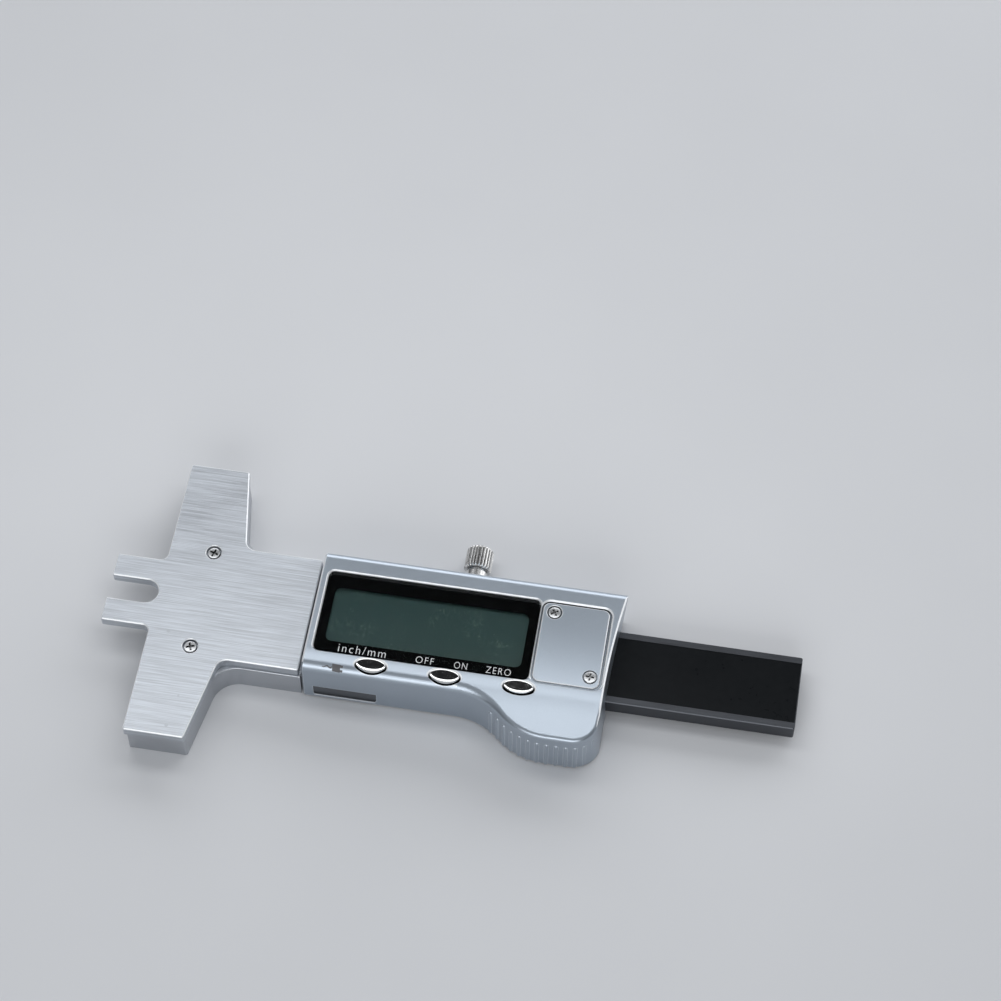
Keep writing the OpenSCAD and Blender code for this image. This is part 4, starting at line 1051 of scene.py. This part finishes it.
# %% Buttons and their holes
BUTTON_L, BUTTON_W, OVAL_STEPS = 6.3, 3.25, 96
CAP_GAP, CAP_ROLL, HOLE_BEVEL, HOLE_FLARE = 0.26, 0.13, 0.24, 0.7
CAP_SLOPE, CAP_RISE, CAP_SHIFT, CAP_FOOT = 0.2, 0.035, 0.07, 0.5


def oval(centre, grow, z, shift=0.0):
    """Ring of a button's oval at a height, grown sideways and shifted away from the near side."""
    half_l, half_w = BUTTON_L / 2 + grow, BUTTON_W / 2 + grow
    angles = [2 * math.pi * k / OVAL_STEPS for k in range(OVAL_STEPS)]
    return [(centre[0] + half_l * math.cos(a), centre[1] + shift + half_w * math.sin(a), z) for a in angles]


button_places = []
for node in ("button_inch_mm", "button_off_on", "button_zero"):
    low, high = span(node)
    centre = ((low.x + high.x) / 2, low.y + BUTTON_W / 2)
    button_places.append(centre)
    mouth = roof_z - crown(centre[1]) - HOLE_BEVEL
    hole = [oval(centre, 0, under_roof - past), oval(centre, 0, mouth),
            oval(centre, HOLE_FLARE, mouth + HOLE_FLARE)]
    combine(shell, "DIFFERENCE", loft(hole))
    shoulder, rim = high.z - CAP_RISE, -CAP_GAP - CAP_ROLL
    rings = [oval(centre, -CAP_GAP, under_roof - CAP_FOOT)]
    rings += [oval(centre, -CAP_GAP - CAP_ROLL * (1 - math.cos(a)), shoulder - CAP_ROLL * (1 - math.sin(a)))
              for a in degrees(0, 15, 30, 45, 60, 75)]
    rings += [oval(centre, rim - CAP_SLOPE * t, shoulder + CAP_RISE * t, CAP_SHIFT * t) for t in (0.06, 1.0)]
    rings += [oval(centre, rim - CAP_SLOPE - inwards, high.z, CAP_SHIFT) for inwards in (0.04, 0.3)]
    cap = solid(node.replace("button", "cap"), loft(rings))
    soften(cap, 40)
    stand_for(cap, node, chrome)

# %% Screw holes of the housing
LOCK_HOLE_R, LOCK_SHANK_HOLE_R, ACCESS_R, GIB_SCREW_R = 1.65, 1.3, 1.2, 1.02
LID_SHANK_HOLE_R, HOLE_DEPTH = 0.62, 3.2


def side_hole(piece, x, radius, steps):
    """Drills a round hole through the far side, level with the lock screw."""
    profile = [(radius, 0), (radius, SIDE_Y + 2)]
    combine(piece, "DIFFERENCE", turned(profile, (x, 0, lock_z), axis="y", steps=steps))


lid_hole = [(LID_SHANK_HOLE_R, lid_low.z - HOLE_DEPTH), (LID_SHANK_HOLE_R, roof_z)]
drill(shell, lid_hole, cover_screw_places, 24)
side_hole(shell, lock_x, LOCK_HOLE_R, 64)
gib_screw_low, gib_screw_high = span("gib_screws")
for x in (gib_screw_low.x + 1, gib_screw_high.x - 1):
    side_hole(shell, x, ACCESS_R, 32)
    side_hole(guide, x, GIB_SCREW_R, 32)

# %% Hollow and web of the thumb rest
THUMB_WALL, CORE_STEPS, CORE_SHARE, WEB_WIDTH = 1.5, 12, 0.88, 1.1


def inner_arc(x, radius, side, angles):
    """Arc that lies the wall's thickness inside one of the thumb rest's arcs."""
    r = radius - THUMB_WALL
    return [(x + side * r * math.sin(a), -thumb_y + radius - r * math.cos(a)) for a in angles]


inner_y = -cavity_y - THUMB_WALL
steps = range(CORE_STEPS + 1)
core = inner_arc(swell_end, swell_r, -1, [swell_angle * CORE_SHARE * (1 - k / CORE_STEPS) for k in steps])
start_x = core[0][0]
core += inner_arc(corner_x, CORNER_R, 1, [math.pi / 2 * k / CORE_STEPS for k in steps])
core += [(end_x - THUMB_WALL, inner_y), (start_x - 1.2, inner_y)]
core_top = roof_z - crown(-thumb_y) - THUMB_WALL
web = swell_end + 1
combine(shell, "DIFFERENCE", loft([at_height(core, -past), at_height(core, core_top)]))
combine(shell, "UNION", box(web, web + WEB_WIDTH, -thumb_y + 1, inner_y + 1, foot_z + 0.2, core_top + 0.5))
soften(shell, 30)
stand_for(shell, "housing", silver)

# %% Bevels of the housing
NEAR_WINDOW, NEAR_LID, NEAR_BUTTON, FAR_LEAN = 0.5, 0.8, 0.4, 0.4


def on_bevel(x, y, z, normal):
    """Whether a face of the housing is one of its cut bevels, and not part of its long rounded edges."""
    if not slanted(x, y, z, normal) or normal.y >= FAR_LEAN or z <= roof_z - crown(y) - RIGHT_BEVEL:
        return False
    by_window = (lens_low.x - NEAR_WINDOW < x < lid_high.x + NEAR_LID
                 and lens_low.y - NEAR_WINDOW < y < lens_high.y + NEAR_WINDOW)
    reach_x, reach_y = BUTTON_L / 2 + NEAR_BUTTON, BUTTON_W / 2 + NEAR_BUTTON
    by_button = any(math.hypot((x - bx) / reach_x, (y - by) / reach_y) < 1 for bx, by in button_places)
    at_end = x < left_x + END_BEVEL or x > end_surface(y, roof_z) - RIGHT_BEVEL
    return by_window or by_button or at_end


# The housing's cut bevels take the near-white painted highlight.
paint_highlight(shell, on_bevel)

# %% Screws from the back, and the frame's holes
COUNTERBORE_R, BACK_HOLE_R, FRAME_SCREW_R, PIN_HOLE_R = 1.35, 1.55, 0.82, 1.02

back_low, back_high = span("housing_screws")
rail_mid = back_high.y - HEAD_RADIUS
back_screws = [(back_low.x + HEAD_RADIUS, rail_mid), (left_x + 20.6, -rail_mid), (end_x - 5.2, rail_mid),
               (end_x - 5.2, -rail_mid)]
back_hole = [(BACK_HOLE_R, -past), (COUNTERBORE_R, 0.2), (COUNTERBORE_R, 1.1), (FRAME_SCREW_R, 1.1),
             (FRAME_SCREW_R, 9)]
drill(guide, back_hole, back_screws, 40)
side_hole(guide, lock_x, LOCK_SHANK_HOLE_R, 40)
drill(guide, [(FRAME_SCREW_R, 2.7), (FRAME_SCREW_R, 9)], plate_screw_places, 24)
pin_low, pin_high = span("stop_pin")
drill(guide, [(PIN_HOLE_R, -past), (PIN_HOLE_R, 3)], [((pin_low.x + pin_high.x) / 2, 0)], 32)
soften(guide, 30)
stand_for(guide, "slider_frame", frame_steel)
screws("back_screws", "housing_screws", back_screws, back_high.z, 0.8, 0.7, back_low.z, down=True)

# %% [markdown]
# ## Battery cover and port cover
# The battery cover lies flush in its seat with a groove round it and two sunk screws. The data port's
# cover closes a window in the near wall, and a fingernail pulls it out by the lip at its foot.

# %% Battery cover
LID_BEND_START, LID_BEND, LID_BEND_DEPTH, LID_SHIFT, LID_EDGE = 4.0, 0.0023, 0.5, 0.12, 0.16
LID_HOLE_R, LID_BORE_R, LID_FLOOR = 0.7, 1.5, 0.22


def lid_bend(y):
    """The thin cover bows down a little towards the buttons."""
    return LID_BEND * max(0.0, LID_BEND_START - y) ** 2


outline = box_corners(lid_low.x, lid_high.x - LID_SHIFT, lid_low.y + LID_SHIFT, lid_high.y, LID_R)
lid = solid("lid", slab(outline, lid_low.z, roof_z, LID_EDGE, steps=CORNER_STEPS))
sag(lid, lid_bend, LID_BEND_START, lid_low.y, LID_BEND_DEPTH)
lid_floor = lid_low.z + LID_FLOOR
drill(lid, [(LID_HOLE_R, lid_low.z - past), (LID_HOLE_R, lid_floor), (LID_BORE_R, lid_floor),
            (LID_BORE_R, roof_z - 0.1), (LID_BORE_R + 0.3, roof_z + 0.2)], cover_screw_places, 48)
soften(lid)
stand_for(lid, "battery_cover", silver)
# The cover's bevel takes the near-white painted highlight.
paint_highlight(lid)

# %% Port cover
LIP, LIP_HEIGHT, PANEL_SET, PANEL_THICK, BUNG_INSET, BUNG_DROP = 0.4, 0.4, 0.12, 0.95, 1.2, 0.6

panel = slab(box_corners(port_low.x, port_high.x, port_low.z, port_high.z, 0.25), 0, 1)
panel_points = [(x, -SIDE_Y + PANEL_SET + (1 - t) * PANEL_THICK, z) for x, z, t in panel[0]]
lip = slab(box_corners(port_low.x, port_high.x, -SIDE_Y - LIP, -SIDE_Y + 0.5, 0.38),
           port_low.z, port_low.z + LIP_HEIGHT, 0.1, 0.1)
bung = box(port_low.x + BUNG_INSET, port_high.x - BUNG_INSET, -SIDE_Y + 0.9, port_high.y,
           port_low.z + BUNG_DROP, port_high.z - BUNG_DROP)
hatch = solid("hatch", (panel_points, panel[1]), lip, bung)
soften(hatch)
stand_for(hatch, "port_cover", port_plastic)
# The lip takes the lighter grey: a painted highlight along its lit foot.
paint_highlight(hatch, lambda x, y, z, normal: y < -SIDE_Y and z < port_low.z + LIP, port_lip)

# %% [markdown]
# ## Lock screw
# Turning the knurled screw at the rear presses a brass pad on the gib strip and locks the beam. The
# head is a ring of straight teeth, bevelled at both ends, behind a plain collar.

# %% Lock screw
TEETH, TOOTH, KNOB_R, KNOB_LENGTH = 24, 0.28, 2.725, 4.8
TOOTH_SHAPE = ((0.0, 0.0), (0.12, 0.25), (0.30, 0.92), (0.42, 1.0), (0.58, 1.0), (0.70, 0.92), (0.88, 0.25))
SHANK_R, COLLAR_R, COLLAR_EDGE, THROAT = 1.25, 2.25, 0.15, 0.6

root_r, throat_r = KNOB_R - TOOTH, COLLAR_R - 0.4
collar_y = SIDE_Y + 0.75
knob_end = lock_high.y
knob_y = knob_end - KNOB_LENGTH


def knurled_ring(y, most):
    """Ring of teeth at y, cut off at the radius most."""
    ring = []
    for k in range(TEETH):
        for part, proud in TOOTH_SHAPE:
            a = 2 * math.pi * (k + part) / TEETH
            r = min(KNOB_R - TOOTH * (1 - proud), most)
            ring.append((lock_x + r * math.cos(a), y, lock_z - r * math.sin(a)))
    return ring


knurled = loft([knurled_ring(y, most) for y, most in (
    (knob_y, root_r), (knob_y + 0.3, KNOB_R), (knob_end - 0.35, KNOB_R), (knob_end - 0.05, root_r - 0.05),
    (knob_end, root_r - 0.25))])
neck = turned([
    (SHANK_R - 0.2, lock_low.y), (SHANK_R, lock_low.y + 0.2), (SHANK_R, collar_y),
    (COLLAR_R - COLLAR_EDGE, collar_y), (COLLAR_R, collar_y + COLLAR_EDGE), (COLLAR_R, knob_y - 0.75),
    (COLLAR_R - COLLAR_EDGE, knob_y - THROAT), (throat_r, knob_y - THROAT), (throat_r, knob_y + 0.1)],
    (lock_x, 0, lock_z), axis="y")
thumb_screw = solid("thumb_screw", knurled)
combine(thumb_screw, "UNION", neck)
soften(thumb_screw, 25)
stand_for(thumb_screw, "lock_screw", knob_steel)

# %% [markdown]
# ## Lettering
# The words beside the buttons are plain ones, printed in white on the display's black border, and a
# small plug marks the data port. Blender's own font gives the letters, turned into a mesh a hundredth
# of a millimetre thick.

# %% Words
PRINT, LETTER = 0.012, 2
WORD_Y = -9.0


def word(name, text, x_range, top_y, bold, spacing):
    """Flat letters on the lens that reach over x_range and from the words' line up to top_y."""
    curve = bpy.data.curves.new(name, "FONT")
    curve.body, curve.size, curve.space_character = text, LETTER * MM, spacing
    curve.offset, curve.extrude = bold * MM, PRINT / 2 * MM
    maker = bpy.data.objects.new(name + "_curve", curve)
    bpy.context.scene.collection.objects.link(maker)
    mesh = bpy.data.meshes.new_from_object(maker.evaluated_get(bpy.context.evaluated_depsgraph_get()))
    bpy.data.objects.remove(maker)
    low, high = (Vector(f(v.co[k] for v in mesh.vertices) for k in range(3)) for f in (min, max))
    size = Vector((x_range[1] - x_range[0], top_y - WORD_Y, PRINT))
    scale = Matrix.Diagonal((*[size[k] * MM / (high[k] - low[k]) for k in range(3)], 1))
    there = Matrix.Translation(place(x_range[0], WORD_Y, lens_high.z))
    mesh.transform(there @ scale @ Matrix.Translation(-low))
    letters = bpy.data.objects.new(name, mesh)
    bpy.context.scene.collection.objects.link(letters)
    rest_on(letters, "display_lens", white_print)
    print(name, "letters are", round(size.y, 2), "mm high")


word("word_inch_mm", "inch/mm", (37.8, 47.1), -7.2, -0.025, 1.25)
word("word_off", "OFF", (53.0, 56.5), -7.55, -0.03, 1.2)
word("word_on", "ON", (60.5, 63.0), -7.55, -0.03, 1.2)
word("word_zero", "ZERO", (66.7, 71.5), -7.55, -0.03, 1.2)

# %% Patches of print on the rounded edge
UNDER_SKIN = -0.02


def on_edge(x, along, lift):
    """Point on the near side's rounding, at a distance along its curve and lifted off it."""
    turn = max(0.0, along / EDGE_R)
    y = EDGE_R - SIDE_Y + min(0.0, along) * -1 - (EDGE_R + lift) * math.sin(turn)
    return x, y, roof_z - crown(y) - EDGE_R + (EDGE_R + lift) * math.cos(turn)


def patch(corners, columns=10):
    """A thin four-cornered patch, meshed finely so that it follows the rounding."""
    points, faces = [], []
    steps = [k / columns for k in range(columns + 1)]
    for lift in (UNDER_SKIN, PRINT):
        for t in steps:
            for w in steps:
                x, along = ((a * (1 - t) + b * t) * (1 - w) + (d * (1 - t) + c * t) * w
                            for a, b, c, d in zip(*corners))
                points.append(on_edge(x, along, lift))
    row, layer = columns + 1, (columns + 1) ** 2
    for i in range(columns):
        for k in range(columns):
            q = (i * row + k, (i + 1) * row + k, (i + 1) * row + k + 1, i * row + k + 1)
            faces += [tuple(reversed(q)), tuple(v + layer for v in q)]
        here, there, last = i * row, (i + 1) * row, columns * row + i
        for v, w in ((here, there), (there + columns, here + columns), (i + 1, i), (last, last + 1)):
            faces.append((v, w, w + layer, v + layer))
    return points, faces


print("a patch has", len(patch([(0, 0), (0, 1), (1, 1), (1, 0)])[1]), "faces")

# %% Plug icon
PLUG_X, PLUG_S, PLUG_LENGTH = 37.3, 0.98, 1.62
PIN_APART, PIN_HALF, PIN_LENGTH = 0.42, 0.22, 0.5
CORD_LENGTH, CORD_WAVE, CORD_HALF, CORD_STEPS = 1.9, 0.14, 0.2, 10

plug_end, pin_end = PLUG_X + PLUG_LENGTH, PLUG_X + PLUG_LENGTH + PIN_LENGTH
plug = [patch([(PLUG_X, PLUG_S - 0.72), (PLUG_X + 0.12, PLUG_S + 0.66), (plug_end, PLUG_S + 0.8),
               (plug_end, PLUG_S - 0.66)])]
for side in (-1, 1):
    tip = PLUG_S + 0.05 + side * PIN_APART
    plug.append(patch([(plug_end, tip - PIN_HALF), (plug_end, tip + PIN_HALF), (pin_end, tip + PIN_HALF),
                       (pin_end, tip - PIN_HALF)]))
wave = [(PLUG_X - CORD_LENGTH * k / CORD_STEPS, PLUG_S - 0.05 + CORD_WAVE * math.sin(k * 0.9),
         CORD_HALF * (1 - k / 15)) for k in range(CORD_STEPS + 1)]
for (x0, s0, w0), (x1, s1, w1) in zip(wave, wave[1:]):
    plug.append(patch([(x1, s1 - w1), (x1, s1 + w1), (x0, s0 + w0), (x0, s0 - w0)], 2))
icon = solid("plug_icon", *plug)
rest_on(icon, "housing", grey_print)
print("plug icon from", round(wave[-1][0], 2), "to", round(pin_end, 2))
